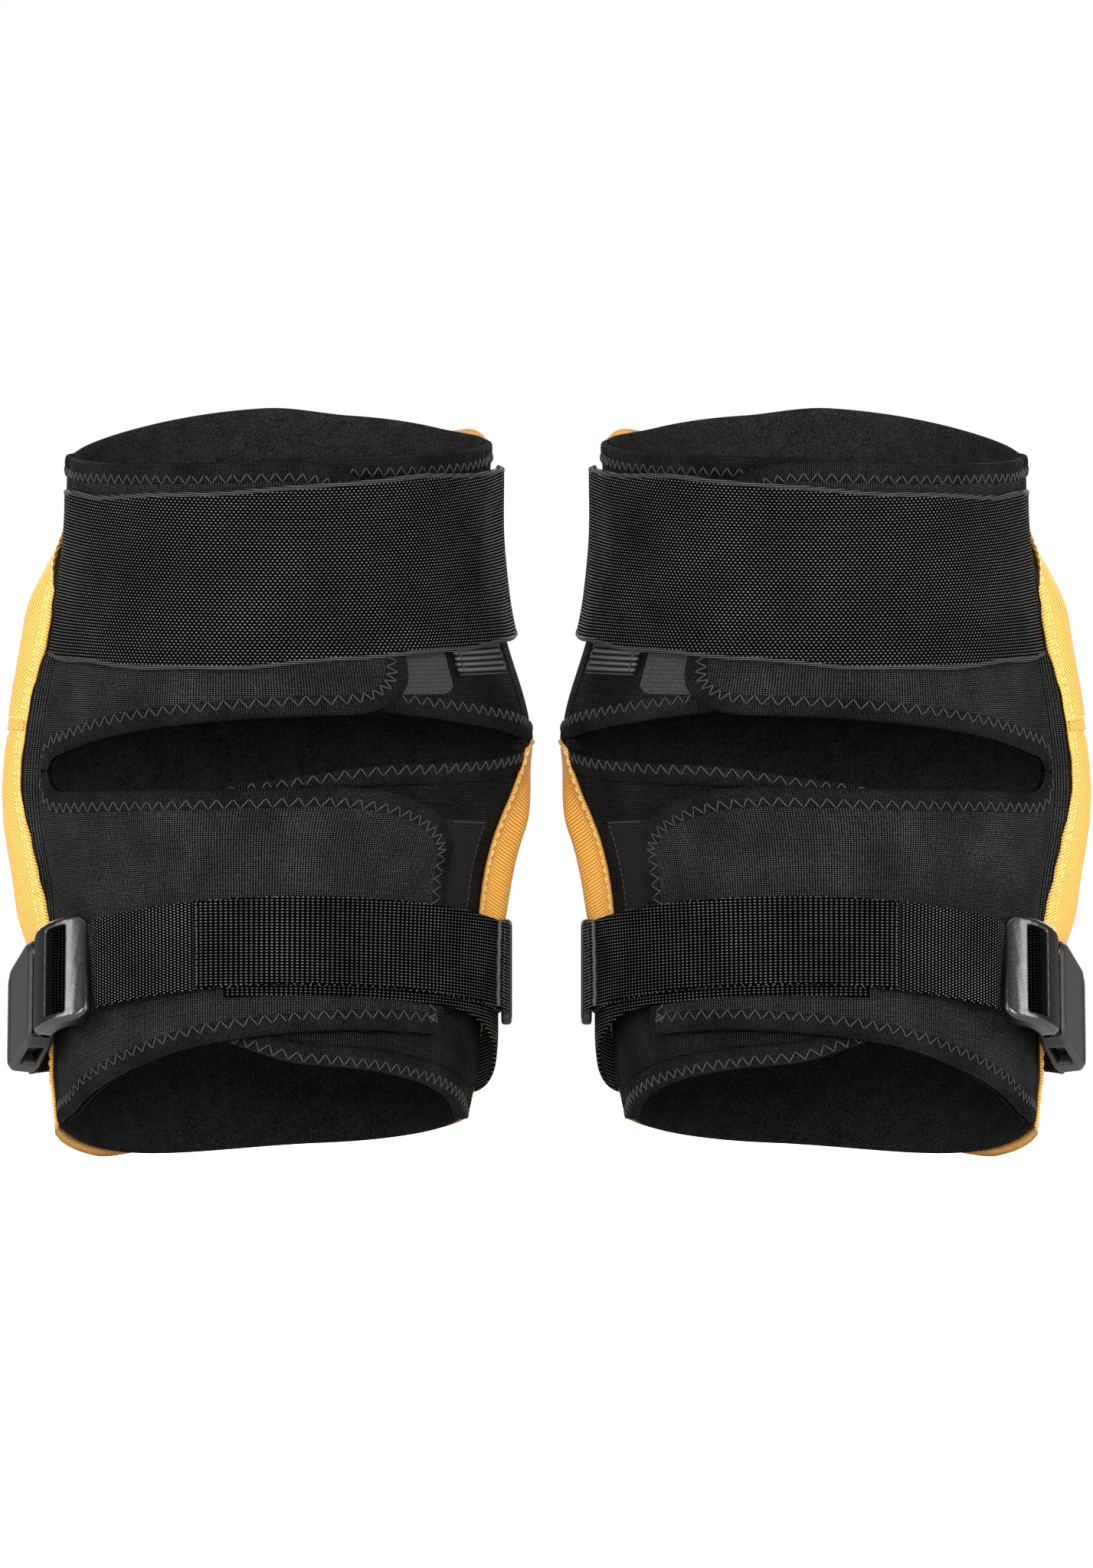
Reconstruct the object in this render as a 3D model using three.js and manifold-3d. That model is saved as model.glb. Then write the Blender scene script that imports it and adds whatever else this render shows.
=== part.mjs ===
// A pair of work knee pads with wrap-round thigh and calf closures, as a three.js scene graph.
// Millimetres, +Z up. -Y is the back of the knee, +Y the kneeling side, and -X is the wearer's left.
// The origin is on the floor under the middle of the pair.
import * as THREE from "three";
import { mergeVertices } from "three/addons/utils/BufferGeometryUtils.js";
import Module from "manifold-3d";

const wasm = await Module();
wasm.setup();

// ---- Driving dimensions ----
const PAD_CENTRE_X = 98; // from the middle of the pair to the axis of one pad
const SLEEVE_HALF_WIDTH = 71;
const KNEE_SWELL = 11.5; // how much wider the sleeve is at the knee
const KNEE_HEIGHT = 148;
const SWELL_LENGTH = 38;
const BACK_DEPTH = 58;
const FRONT_DEPTH = 60;
const BEND_DEPTH = 14; // how far the two ends of the sleeve lean back towards the calf and the thigh
const BEND_HEIGHT = 140;
const BEND_LENGTH = 125;
const RING_SLOPE_BOTTOM = -0.22; // tilt of the section planes at the calf end
const RING_SLOPE_TOP = 0.18; // and at the thigh end
const SLEEVE_LENGTH = 265;
const NEOPRENE = 3.5; // thickness of the sleeve
const FLAP = 3.2;
const FABRIC = 1.4; // front cover cloth
const GAP = 0.4; // between neighbouring layers
const HOOK_TAPE = 1.1;
const FLAP_LIFT = 5.5; // how far an outer flap rides over the inner one and its hook tab
const WEBBING_WIDTH = 32;
const WEBBING = 1.9;
const ELASTIC_WIDTH = 64;
const ELASTIC = 1.8;
const GEL = 5;
const PADDING_GAP = 1.4; // between the layers inside the padded front
const BUCKLE_WIDTH = 40;
const BUCKLE_LENGTH = 34; // female half
const LADDER_LENGTH = 26; // male half outside the female half
const CURVE_START = 4.6; // from the joint of the two halves to where the male half starts to curve
const CURVE_ANGLE = 75; // degrees over the rest of its length
const PRONG_LENGTH = 25;
const KNEE_BULGE = 24; // padding in front of the sleeve
const CAP_FRONT_Y = 97;
const CAP_WIDTH = 84;
const CAP_HEIGHT = 118;

// Angles round the leg in degrees: 0 is the back of the knee, 90 the right side, 180 the kneeling side.
const LEFT_SEAM = -91.6;
const RIGHT_SEAM = 91.6;
const THIGH_HINGE = -86;
const CALF_HINGE = -46;
const INNER_HINGE = 80;

// ---- Small helpers ----
const rad = THREE.MathUtils.degToRad;
const lerp = THREE.MathUtils.lerp;
const smooth = (x, from, to) => THREE.MathUtils.smoothstep(x, from, to);
const bump = (x, centre, length) => Math.exp(-(((x - centre) / length) ** 2));

// ---- The leg form that every soft layer wraps ----
function section(t) {
  const taper = 3 * Math.max(0, (30 - t) / 30) + 0.8 * smooth(t, 205, 235);
  return {
    halfWidth: SLEEVE_HALF_WIDTH - taper + KNEE_SWELL * bump(t, KNEE_HEIGHT, SWELL_LENGTH),
    centreX: -0.5 + 4.2 * smooth(t, 110, 160) + 2.2 * bump(t, KNEE_HEIGHT + 5, 30),
    centreY: -BEND_DEPTH * ((t - BEND_HEIGHT) / BEND_LENGTH) ** 2,
    slope: lerp(RING_SLOPE_BOTTOM, RING_SLOPE_TOP, t / SLEEVE_LENGTH),
  };
}

// The point at an angle round the leg, a height t along it and a distance out from the sleeve's inner face.
function onForm(angle, t, out) {
  const { halfWidth, centreX, centreY, slope } = section(t);
  const s = rad(angle);
  const depth = Math.cos(s) > 0 ? BACK_DEPTH : FRONT_DEPTH;
  const x = centreX + (halfWidth + out) * Math.sin(s);
  const y = centreY - (depth + out) * Math.cos(s);
  return new THREE.Vector3(x, y, t + slope * y);
}

// How much height along the leg a strip of that width takes up: the section planes fan out towards the front.
function acrossLeg(s, width) {
  const fan = (RING_SLOPE_TOP - RING_SLOPE_BOTTOM) / SLEEVE_LENGTH;
  return width / (1 - fan * (BACK_DEPTH + 8) * Math.cos(rad(s)));
}

const asFunction = (value) => (typeof value === "function" ? value : () => value);

// A closed slab bent round the form: from and to are angles, bottom and top are heights, and inner and outer are
// distances from the sleeve's inner face. Each of the last four may be a function of the angle.
function band({ from, to, bottom, top, inner, outer, around = 16, up = 4 }) {
  const [bottomAt, topAt, innerAt, outerAt] = [bottom, top, inner, outer].map(asFunction);
  const geometry = new THREE.BoxGeometry(1, 1, 1, around, up, 1);
  const position = geometry.getAttribute("position");
  for (let i = 0; i < position.count; i++) {
    const angle = lerp(from, to, position.getX(i) + 0.5);
    const t = lerp(bottomAt(angle), topAt(angle), position.getY(i) + 0.5);
    const out = position.getZ(i) > 0 ? outerAt(angle, t) : innerAt(angle, t);
    position.setXYZ(i, ...onForm(angle, t, out).toArray());
  }
  return closed(geometry);
}

// ---- Solids and booleans ----
function closed(geometry) {
  const bare = geometry.clone();
  bare.deleteAttribute("normal");
  bare.deleteAttribute("uv");
  return mergeVertices(bare, 1e-4);
}

function toManifold(geometry) {
  const merged = closed(geometry);
  const vertProperties = new Float32Array(merged.getAttribute("position").array);
  const triVerts = new Uint32Array(merged.index.array);
  return new wasm.Manifold(new wasm.Mesh({ numProp: 3, vertProperties, triVerts }));
}

function toGeometry(solid) {
  const mesh = solid.getMesh();
  const geometry = new THREE.BufferGeometry();
  geometry.setAttribute("position", new THREE.BufferAttribute(mesh.vertProperties, 3));
  geometry.setIndex(new THREE.BufferAttribute(mesh.triVerts, 1));
  return geometry;
}

const join = (first, ...rest) => toGeometry(rest.reduce((a, b) => a.add(toManifold(b)), toManifold(first)));
const cut = (first, ...rest) => toGeometry(rest.reduce((a, b) => a.subtract(toManifold(b)), toManifold(first)));

// A box given by its two corners.
function box(low, high) {
  const size = high.map((value, axis) => value - low[axis]);
  const middle = high.map((value, axis) => (value + low[axis]) / 2);
  return new THREE.BoxGeometry(...size).translate(...middle);
}

// A rounded plate in the local XZ plane, its thickness along Y, with a bevelled rim.
function plate({ x0, x1, halfHeight, halfThickness, corner, bevel, segments = 4 }) {
  const shape = new THREE.Shape();
  const [left, right, high] = [x0 + bevel, x1 - bevel, halfHeight - bevel];
  shape.moveTo(left + corner, -high);
  shape.absarc(right - corner, -high + corner, corner, -Math.PI / 2, 0);
  shape.absarc(right - corner, high - corner, corner, 0, Math.PI / 2);
  shape.absarc(left + corner, high - corner, corner, Math.PI / 2, Math.PI);
  shape.absarc(left + corner, -high + corner, corner, Math.PI, 1.5 * Math.PI);
  const depth = 2 * (halfThickness - bevel);
  const options = { depth, bevelThickness: bevel, bevelSize: bevel, bevelSegments: 1, curveSegments: segments };
  const geometry = new THREE.ExtrudeGeometry(shape, options);
  return geometry.translate(0, 0, -depth / 2).rotateX(Math.PI / 2);
}

// ---- Edges of the soft pieces, as heights along the leg ----
const degreesPerMm = 180 / (Math.PI * 66);
const shoulder = (s) => 2.5 * smooth(s, 96, 130) * (1 - smooth(s, 160, 185));
const rimTop = (s) => 255.1 + 2.5 * Math.sin(rad(s)) + 5.5 * Math.cos(rad(s)) ** 2 - shoulder(s);
const frontBottom = (s) => 16.1 - 6.5 * smooth(s, 165, 235) + 1.5 * smooth(s, 240, 271);
const thighOuterBottom = (s) => 160.8 - 16.5 * ((s - 20) / 90) ** 2;
const thighInnerBottom = (s) => 149.4 + 0.19 * (90 - s);
const calfOuterTop = (s) => 131.3 + 1.2 * smooth(s, -20, 20);
const calfOuterBottom = (s) => 39 - 24 * ((s - 46) / 110) ** 2;
const calfInnerTop = (s) => 133.2 + 7 * Math.max(0, s / 85) ** 3;
const calfInnerBottom = (s) => 32 - 8 * Math.max(0, s / 80) ** 2;

// How far a flap's rounded corner has drawn in its edge: the corner starts that length before the free end.
function corner(s, end, length, drop) {
  const along = THREE.MathUtils.clamp((s - end) / degreesPerMm / length + 1, 0, 0.98);
  return drop * (1 - Math.sqrt(1 - along ** 2));
}

// ---- The padded front ----
const COVER_LEFT = 271.5; // the same side as -88.5
const coverRight = 94;

// Distance from the sleeve's inner face to the outside of the front cover.
function coverOut(s, t) {
  const fromLeft = COVER_LEFT - s;
  const fromRight = s - coverRight;
  const sideBulge = 18 * smooth(t, 45, 95) * (1 - smooth(t, 186, 220));
  const rightBulge = 12 * smooth(t, 45, 95) * (1 - smooth(t, 118, 146));
  const knee = KNEE_BULGE * smooth(t, 18, 80) * (1 - smooth(t, 190, 244));
  const front = smooth(fromLeft, 30, 78) * smooth(fromRight, 10, 78);
  const left = smooth(fromLeft, -6, 18) * (1 - smooth(fromLeft, 60, 120));
  const right = smooth(fromRight, -6, 16) * (1 - smooth(fromRight, 60, 120));
  const edge = NEOPRENE + GAP + FABRIC + 0.6;
  return edge + Math.max(knee * front, sideBulge * left * 0.8, rightBulge * right);
}
const coverIn = (s, t) => coverOut(s, t) - FABRIC;

function frontCover() {
  const shape = { from: coverRight, to: COVER_LEFT, bottom: (s) => frontBottom(s) - 1.2, top: (s) => rimTop(s) - 3 };
  return band({ ...shape, inner: coverIn, outer: coverOut, around: 22, up: 12 });
}

function foamCore() {
  const inner = NEOPRENE + 2 * PADDING_GAP + GEL;
  const outer = (s, t) => coverIn(s, t) - 2 * PADDING_GAP;
  return band({ from: 136, to: 222, bottom: 82, top: 200, inner, outer, around: 10, up: 8 });
}

function gelPad() {
  const inner = NEOPRENE + PADDING_GAP;
  return band({ from: 136, to: 222, bottom: 82, top: 200, inner, outer: inner + GEL, around: 10, up: 6 });
}

function kneeCap() {
  const middle = [section(KNEE_HEIGHT).centreX, 0, 134];
  const block = plate({
    x0: -CAP_WIDTH / 2,
    x1: CAP_WIDTH / 2,
    halfHeight: CAP_HEIGHT / 2,
    halfThickness: 24,
    corner: 24,
    bevel: 4,
    segments: 5,
  }).translate(middle[0], CAP_FRONT_Y - 24, middle[2]);
  const envelope = band({
    from: 110,
    to: 250,
    bottom: 30,
    top: 240,
    inner: -30,
    outer: (s, t) => coverOut(s, t) + PADDING_GAP,
    around: 14,
    up: 10,
  });
  const grooves = [-1, 1].map((side) => {
    const x = middle[0] + side * 17;
    return box([x - 1.6, CAP_FRONT_Y - 2, 60], [x + 1.6, CAP_FRONT_Y + 5, 210]);
  });
  const crossGrooves = [-1, 1].map((side) => {
    const z = middle[2] + side * 22;
    return box([-70, CAP_FRONT_Y - 2, z - 1.6], [70, CAP_FRONT_Y + 5, z + 1.6]);
  });
  return cut(block, envelope, ...grooves, ...crossGrooves);
}

// ---- The sleeve ----
function liner() {
  const shape = { from: RIGHT_SEAM + 0.3, to: 360 + LEFT_SEAM - 0.3, bottom: frontBottom, top: rimTop };
  return band({ ...shape, inner: 0, outer: NEOPRENE, around: 14, up: 12 });
}

function lateralPanel() {
  const column = band({
    from: LEFT_SEAM,
    to: THIGH_HINGE,
    bottom: (s) => calfOuterBottom(Math.max(s, -70)),
    top: rimTop,
    inner: 0,
    outer: FLAP,
    around: 3,
    up: 8,
  });
  const calfRoot = band({
    from: THIGH_HINGE - 3,
    to: CALF_HINGE,
    bottom: (s) => calfOuterBottom(Math.max(s, -70)),
    top: calfOuterTop,
    inner: 0,
    outer: FLAP,
    around: 3,
    up: 4,
  });
  return join(column, calfRoot);
}

function medialPanel() {
  const strip = { inner: 0, outer: NEOPRENE, around: 2, to: RIGHT_SEAM };
  const thigh = band({ ...strip, from: INNER_HINGE, bottom: 153.5, top: rimTop, up: 4 });
  const calf = band({ ...strip, from: INNER_HINGE, bottom: calfInnerBottom, top: calfInnerTop, up: 4 });
  const bridge = band({ ...strip, from: RIGHT_SEAM - 3, bottom: 120, top: 170, up: 2, around: 1 });
  return join(thigh, calf, bridge);
}

const thighLift = (s) => FLAP_LIFT * smooth(s, -60, -16);
const calfLift = (s) => FLAP_LIFT * smooth(s, -42, -14);

function thighFlapOuter() {
  const end = 31.5;
  return band({
    from: THIGH_HINGE + 0.5,
    to: end,
    bottom: (s) => thighOuterBottom(s) + corner(s, end, 18, 18),
    top: (s) => rimTop(s) - corner(s, end, 34, 30),
    inner: thighLift,
    outer: (s) => thighLift(s) + FLAP,
  });
}

function thighFlapInner() {
  const shape = { from: -7, to: INNER_HINGE - 0.5, bottom: thighInnerBottom, top: rimTop };
  return band({ ...shape, inner: 0, outer: NEOPRENE, around: 12, up: 6 });
}

function calfFlapOuter() {
  const end = 51.5;
  return band({
    from: CALF_HINGE + 0.5,
    to: end,
    bottom: calfOuterBottom,
    top: (s) => calfOuterTop(s) - corner(s, end, 46, 25),
    inner: calfLift,
    outer: (s) => calfLift(s) + FLAP,
    around: 14,
    up: 5,
  });
}

function calfFlapInner() {
  const shape = { from: -10, to: INNER_HINGE - 0.5, bottom: calfInnerBottom, top: calfInnerTop };
  return band({ ...shape, inner: 0, outer: NEOPRENE, around: 12, up: 7 });
}

// A hook-tape tab sewn under an outer flap's free end and pressed onto the inner flap.
function hookTab({ from, to, bottom, top }) {
  const inner = NEOPRENE + 1.3 * GAP;
  return band({ from, to, bottom, top, inner, outer: inner + HOOK_TAPE, around: 4, up: 4 });
}

// ---- Thigh strap ----
function strapLift(s) {
  const base = NEOPRENE + GAP;
  const overFlap = FLAP_LIFT + FLAP + GAP;
  const overAnchor = base + ELASTIC + GAP;
  const rise = lerp(base, overFlap, smooth(s, -66, -22));
  return s < 34 ? rise : lerp(overFlap, overAnchor, smooth(s, 34, 56)) + 0.4 * smooth(s, 78, 92);
}
const strapMiddle = (s) => 214.2 + 3.6 * Math.sin(rad(s)) + 2.4 * bump(s, 28, 30);
const strapWidth = (s) => ELASTIC_WIDTH - 4 * (1 - smooth(s, -60, -15)) - 3 * smooth(s, 40, 80);

function thighStrap() {
  return band({
    from: THIGH_HINGE + 0.5,
    to: 98,
    bottom: (s) => strapMiddle(s) - acrossLeg(s, strapWidth(s)) / 2,
    top: (s) => strapMiddle(s) + acrossLeg(s, strapWidth(s)) / 2,
    inner: strapLift,
    outer: (s) => strapLift(s) + ELASTIC,
    around: 26,
    up: 5,
  });
}

function thighStrapAnchor() {
  const inner = NEOPRENE + GAP;
  return band({ from: 49, to: 72, bottom: 178, top: 240, inner, outer: inner + ELASTIC, around: 4, up: 5 });
}

// ---- Calf strap ----
const calfStrapMiddle = (s) => 71.2 - 7.6 * ((s - 25) / 82) ** 2;
const calfStrapLift = (s) => FLAP_LIFT + FLAP + GAP + 0.3 + (WEBBING - 0.2) * smooth(s, -40, -14);
const CALF_STRAP_START = -47.6;
const CALF_STRAP_END = 80;

function calfStrap() {
  return band({
    from: CALF_STRAP_START,
    to: CALF_STRAP_END,
    bottom: (s) => calfStrapMiddle(s) - acrossLeg(s, WEBBING_WIDTH) / 2,
    top: (s) => calfStrapMiddle(s) + acrossLeg(s, WEBBING_WIDTH) / 2,
    inner: calfStrapLift,
    outer: (s) => calfStrapLift(s) + WEBBING,
    around: 22,
    up: 1,
  });
}

// The adjusting end comes from the front cover, round the right side and back under the strap.
function calfStrapReturn() {
  const middle = (s) => calfStrapMiddle(Math.min(s, 60)) - 3.8 - 22 * smooth(s, 55, 112);
  const lift = (s, t) => Math.max(FLAP_LIFT + FLAP + GAP + 0.1, coverOut(Math.max(s, coverRight), t) + 2 * GAP);
  return band({
    from: -10,
    to: 118,
    bottom: (s) => middle(s) - acrossLeg(s, WEBBING_WIDTH) / 2,
    top: (s) => middle(s) + acrossLeg(s, WEBBING_WIDTH) / 2,
    inner: lift,
    outer: (s, t) => lift(s, t) + 1.3,
    around: 22,
    up: 2,
  });
}

// A rectangular ring at the strap's right end, its long side upright.
function strapRing() {
  const ring = plate({ x0: -6, x1: 6, halfHeight: 18.6, halfThickness: 1.7, corner: 3, bevel: 0.6, segments: 3 });
  return cut(ring, box([-3, -5, -16.4], [3, 5, 16.4]));
}

// ---- Side-release buckle, in its own frame: +X into the female half, +Y outwards, +Z up ----
function buckleFemale() {
  const half = BUCKLE_WIDTH / 2;
  const body = plate({ x0: 0, x1: BUCKLE_LENGTH, halfHeight: half, halfThickness: 5.2, corner: 5, bevel: 1.6 });
  const cavity = box([-1, -3.4, -17.6], [26.4, 3.4, 17.6]);
  const windows = box([7, -2.8, -half - 1], [22, 2.8, half + 1]);
  const webbingSlot = box([28, -7, -16.5], [31, 7, 16.5]);
  return cut(body, cavity, windows, webbingSlot);
}

function buckleMale() {
  const half = BUCKLE_WIDTH / 2;
  const frame = plate({ x0: -LADDER_LENGTH, x1: -0.4, halfHeight: half, halfThickness: 4, corner: 4, bevel: 1.3 });
  const tongue = box([-2, -1.3, -3.5], [PRONG_LENGTH - 2, 1.3, 3.5]);
  const slot = box([-18.3, -6, -16.6], [-11.2, 6, 16.6]);
  const prongSockets = [-1, 1].map((side) => {
    const z = [side * 10.2, side * 16.8].sort((a, b) => a - b);
    return box([-4.4, -2.6, z[0]], [0.5, 2.6, z[1]]);
  });
  return join(curveRoundLeg(cut(frame, slot, ...prongSockets)), tongue);
}

// Curves the strap end of the male half towards the leg.
function curveRoundLeg(geometry) {
  const radius = (LADDER_LENGTH - CURVE_START) / rad(CURVE_ANGLE);
  const solid = toManifold(geometry).refineToLength(3.2).warp((point) => {
    const angle = Math.max(0, -point[0] - CURVE_START) / radius;
    const distance = radius + point[1];
    if (angle > 0) point[0] = -CURVE_START - distance * Math.sin(angle);
    if (angle > 0) point[1] = distance * Math.cos(angle) - radius;
  });
  return toGeometry(solid);
}

// One springy arm of the male half: it roots in the frame and is squeezed towards the tongue.
function buckleProng() {
  const arm = new THREE.Shape();
  arm.moveTo(-4, 10.8);
  arm.lineTo(10, 12.2);
  arm.lineTo(PRONG_LENGTH - 3, 12.6);
  arm.quadraticCurveTo(PRONG_LENGTH, 12.8, PRONG_LENGTH, 14);
  arm.quadraticCurveTo(18, 17.2, 9, 17.1);
  arm.lineTo(8, 14.6);
  arm.lineTo(-4, 14.2);
  arm.closePath();
  const options = { depth: 4.6, bevelEnabled: false, curveSegments: 3 };
  return new THREE.ExtrudeGeometry(arm, options).translate(0, 0, -2.3).rotateX(Math.PI / 2);
}

// The short webbing loop that ties the female half to the front cover.
function buckleTether() {
  const lift = (s, t) => coverOut(s, t) + 1.3 * PADDING_GAP;
  const rise = (s) => 5 * smooth(s, 246, 258);
  const middle = (s) => 53 + 0.28 * (245 - s);
  return band({
    from: 222,
    to: 261.5,
    bottom: (s) => middle(s) - WEBBING_WIDTH / 2,
    top: (s) => middle(s) + WEBBING_WIDTH / 2,
    inner: (s, t) => lift(s, t) + rise(s),
    outer: (s, t) => lift(s, t) + rise(s) + WEBBING,
    around: 7,
    up: 3,
  });
}

// ---- Materials ----
const matte = (color, roughness) => new THREE.MeshStandardMaterial({ color, roughness, metalness: 0 });
const materials = {
  cover: matte(0xf2a93b, 0.85),
  cap: matte(0x1b1b1c, 0.55),
  foam: matte(0x3a3a3c, 0.95),
  gel: matte(0x4a6f8a, 0.3),
  neoprene: matte(0x26262a, 0.95),
  hook: matte(0x4a4a4c, 0.8),
  elastic: matte(0x202022, 0.85),
  webbing: matte(0x1c1c1e, 0.7),
  plastic: matte(0x28282a, 0.35),
};

// ---- Assembly of one pad, in the left pad's own frame ----
function buildPad(side) {
  const pad = new THREE.Group();
  const add = (name, geometry, material, parent = pad) => {
    const mesh = new THREE.Mesh(geometry, materials[material]);
    mesh.name = `${side}_${name}`;
    parent.add(mesh);
    return mesh;
  };
  add("front_cover", frontCover(), "cover");
  add("knee_cap", kneeCap(), "cap");
  add("foam_core", foamCore(), "foam");
  add("gel_pad", gelPad(), "gel");
  add("liner", liner(), "neoprene");
  add("lateral_panel", lateralPanel(), "neoprene");
  add("medial_panel", medialPanel(), "neoprene");
  add("thigh_flap_outer", thighFlapOuter(), "neoprene");
  add("thigh_flap_inner", thighFlapInner(), "neoprene");
  add("thigh_hook_tab", hookTab({ from: 24, to: 46, bottom: 168, top: 208 }), "hook");
  add("thigh_strap_anchor", thighStrapAnchor(), "elastic");
  add("thigh_strap", thighStrap(), "elastic");
  add("calf_flap_outer", calfFlapOuter(), "neoprene");
  add("calf_flap_inner", calfFlapInner(), "neoprene");
  add("calf_hook_tab", hookTab({ from: 45, to: 72, bottom: 84, top: 121 }), "hook");
  add("calf_strap", calfStrap(), "webbing");
  add("calf_strap_return", calfStrapReturn(), "webbing");
  const ring = add("strap_ring", strapRing(), "plastic");
  ring.position.copy(onForm(88.5, calfStrapMiddle(80), calfStrapLift(80) + 2.2));
  ring.rotation.z = rad(87);

  const buckle = new THREE.Group();
  const into = new THREE.Vector3(-0.26, 0.88, -0.4).normalize();
  const up = new THREE.Vector3(0, -into.z, into.y).normalize();
  const outwards = new THREE.Vector3().crossVectors(up, into);
  buckle.quaternion.setFromRotationMatrix(new THREE.Matrix4().makeBasis(into, outwards, up));
  buckle.position.set(-78.9, -31.8, 63.15);
  pad.add(buckle);
  add("buckle_female", buckleFemale(), "plastic", buckle);
  add("buckle_male", buckleMale(), "plastic", buckle);
  add("buckle_prong_upper", buckleProng(), "plastic", buckle);
  const lower = add("buckle_prong_lower", buckleProng(), "plastic", buckle);
  lower.rotation.x = Math.PI;
  add("buckle_tether", buckleTether(), "webbing");
  return pad;
}

const kneePads = new THREE.Group();
const leftPad = buildPad("left");
leftPad.position.x = -PAD_CENTRE_X;
const rightPad = buildPad("right");
rightPad.position.x = PAD_CENTRE_X;
rightPad.scale.x = -1;
kneePads.add(leftPad, rightPad);
const bounds = new THREE.Box3().setFromObject(kneePads);
kneePads.position.set(0, -(bounds.min.y + bounds.max.y) / 2, -bounds.min.z);

export default kneePads;
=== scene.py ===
"""The looks of a pair of knee pads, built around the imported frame.

Every soft piece wraps one leg form. A place on it is an angle s round the leg (0 behind the knee, 90 on
the inner side of the left pad, 180 on the kneeling side), a height t along the leg, and a distance out
from the sleeve's inner face, in degrees and millimetres. The left pad is built and the right mirrors it.
"""
import math

import bpy
import numpy as np
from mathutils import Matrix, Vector


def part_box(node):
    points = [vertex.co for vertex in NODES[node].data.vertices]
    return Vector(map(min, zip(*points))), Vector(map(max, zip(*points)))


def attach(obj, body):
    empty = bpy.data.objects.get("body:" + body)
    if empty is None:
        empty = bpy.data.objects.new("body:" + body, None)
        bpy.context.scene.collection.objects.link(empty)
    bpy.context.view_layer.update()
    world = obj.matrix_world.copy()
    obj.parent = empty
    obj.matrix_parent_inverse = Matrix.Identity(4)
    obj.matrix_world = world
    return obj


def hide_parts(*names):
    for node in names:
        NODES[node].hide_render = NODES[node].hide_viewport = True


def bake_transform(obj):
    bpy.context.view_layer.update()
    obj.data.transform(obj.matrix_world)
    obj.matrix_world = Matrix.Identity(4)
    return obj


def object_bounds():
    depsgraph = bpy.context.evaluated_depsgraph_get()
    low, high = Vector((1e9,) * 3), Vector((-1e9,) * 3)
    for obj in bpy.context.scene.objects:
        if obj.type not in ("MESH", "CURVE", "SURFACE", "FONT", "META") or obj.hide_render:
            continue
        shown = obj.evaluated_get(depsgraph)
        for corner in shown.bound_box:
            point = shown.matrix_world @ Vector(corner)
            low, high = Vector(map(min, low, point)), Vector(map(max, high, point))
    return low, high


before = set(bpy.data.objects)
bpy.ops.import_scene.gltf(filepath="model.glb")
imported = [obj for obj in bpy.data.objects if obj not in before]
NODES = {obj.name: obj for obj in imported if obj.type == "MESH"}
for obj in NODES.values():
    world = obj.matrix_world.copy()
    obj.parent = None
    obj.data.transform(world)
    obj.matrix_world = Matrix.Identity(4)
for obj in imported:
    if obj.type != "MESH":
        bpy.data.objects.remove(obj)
cad_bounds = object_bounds()
SIDES = {"left": 1.0, "right": -1.0}

# ---- The leg form, in millimetres and degrees ----
SLEEVE_HALF_WIDTH = 71.0
KNEE_SWELL = 11.5  # how much wider the sleeve is at the knee
KNEE_HEIGHT = 148.0
SWELL_LENGTH = 38.0
BACK_DEPTH = 58.0
FRONT_DEPTH = 60.0
BEND_DEPTH = 14.0  # how far the ends stand behind the knee
BEND_HEIGHT = 140.0
BEND_LENGTH = 125.0
RING_SLOPE_BOTTOM = -0.22
RING_SLOPE_TOP = 0.18
SLEEVE_LENGTH = 265.0
MM_PER_DEGREE = 1.33  # along the fabric, on average

# ---- Thicknesses, widths and clearances ----
NEOPRENE = 3.5
FLAP = 3.2
FABRIC = 1.4
ELASTIC = 1.8
ELASTIC_WIDTH = 64.0
WEBBING = 1.9
WEBBING_WIDTH = 32.0
BINDING = 0.6
BINDING_WIDTH = 7.6
GAP = 0.4
HUG = 0.15  # between the cover and the side panels that it is sewn to
FLAP_LIFT = 5.5  # how far out the outer flaps lie where they cross the inner ones
KNEE_BULGE = 24.0
CAP_MIDDLE_T = 134.0
CAP_HALF_HEIGHT = 59.0
CAP_FRONT_Y = 97.0

# ---- Angles of the seams and of the pieces' ends ----
LEFT_SEAM = -91.6
RIGHT_SEAM = 91.6
OUTER_HINGE = -86.0
INNER_HINGE = 80.0
THIGH_BACK = -85.9
THIGH_FLAP_END = 31.5
THIGH_INNER_END = -7
THIGH_STRAP_END = 98
CALF_FLAP_END = 51.5
CALF_INNER_END = -10
COVER_LEFT = 271.5
COVER_RIGHT = 94.0
COVER_MEETS = 97.0  # where the padded front leaves the inner side panel

# ---- The side-release buckle, whose strap end curves round the leg ----
BUCKLE_AT = np.array([-78.9, -31.8, 63.15])
BUCKLE_INTO = np.array([-0.2597, 0.8791, -0.3996])
LADDER_LENGTH = 26.0
CURVE_START = 4.6
CURVE_ANGLE = 75.0
SLOT_END = 18.3
SLOT_START = 11.2


def smooth(x, low, high):
    """0 below low, 1 above high, with an even turn between them."""
    f = np.clip((np.asarray(x, float) - low) / (high - low), 0.0, 1.0)
    return f * f * (3.0 - 2.0 * f)


def bump(x, centre, length):
    return np.exp(-(((np.asarray(x, float) - centre) / length) ** 2))


def sin(degrees):
    return np.sin(np.radians(degrees))


def cos(degrees):
    return np.cos(np.radians(degrees))


def above(function, amount):
    """An edge or a face moved by an amount from another."""
    return lambda *place: function(*place) + amount


def as_function(value):
    return value if callable(value) else (lambda s, t=0.0: value + 0.0 * np.asarray(s, float))


def leg_centre_x(t):
    return -0.5 + 4.2 * smooth(t, 110, 160) + 2.2 * bump(t, KNEE_HEIGHT + 5, 30)


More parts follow.
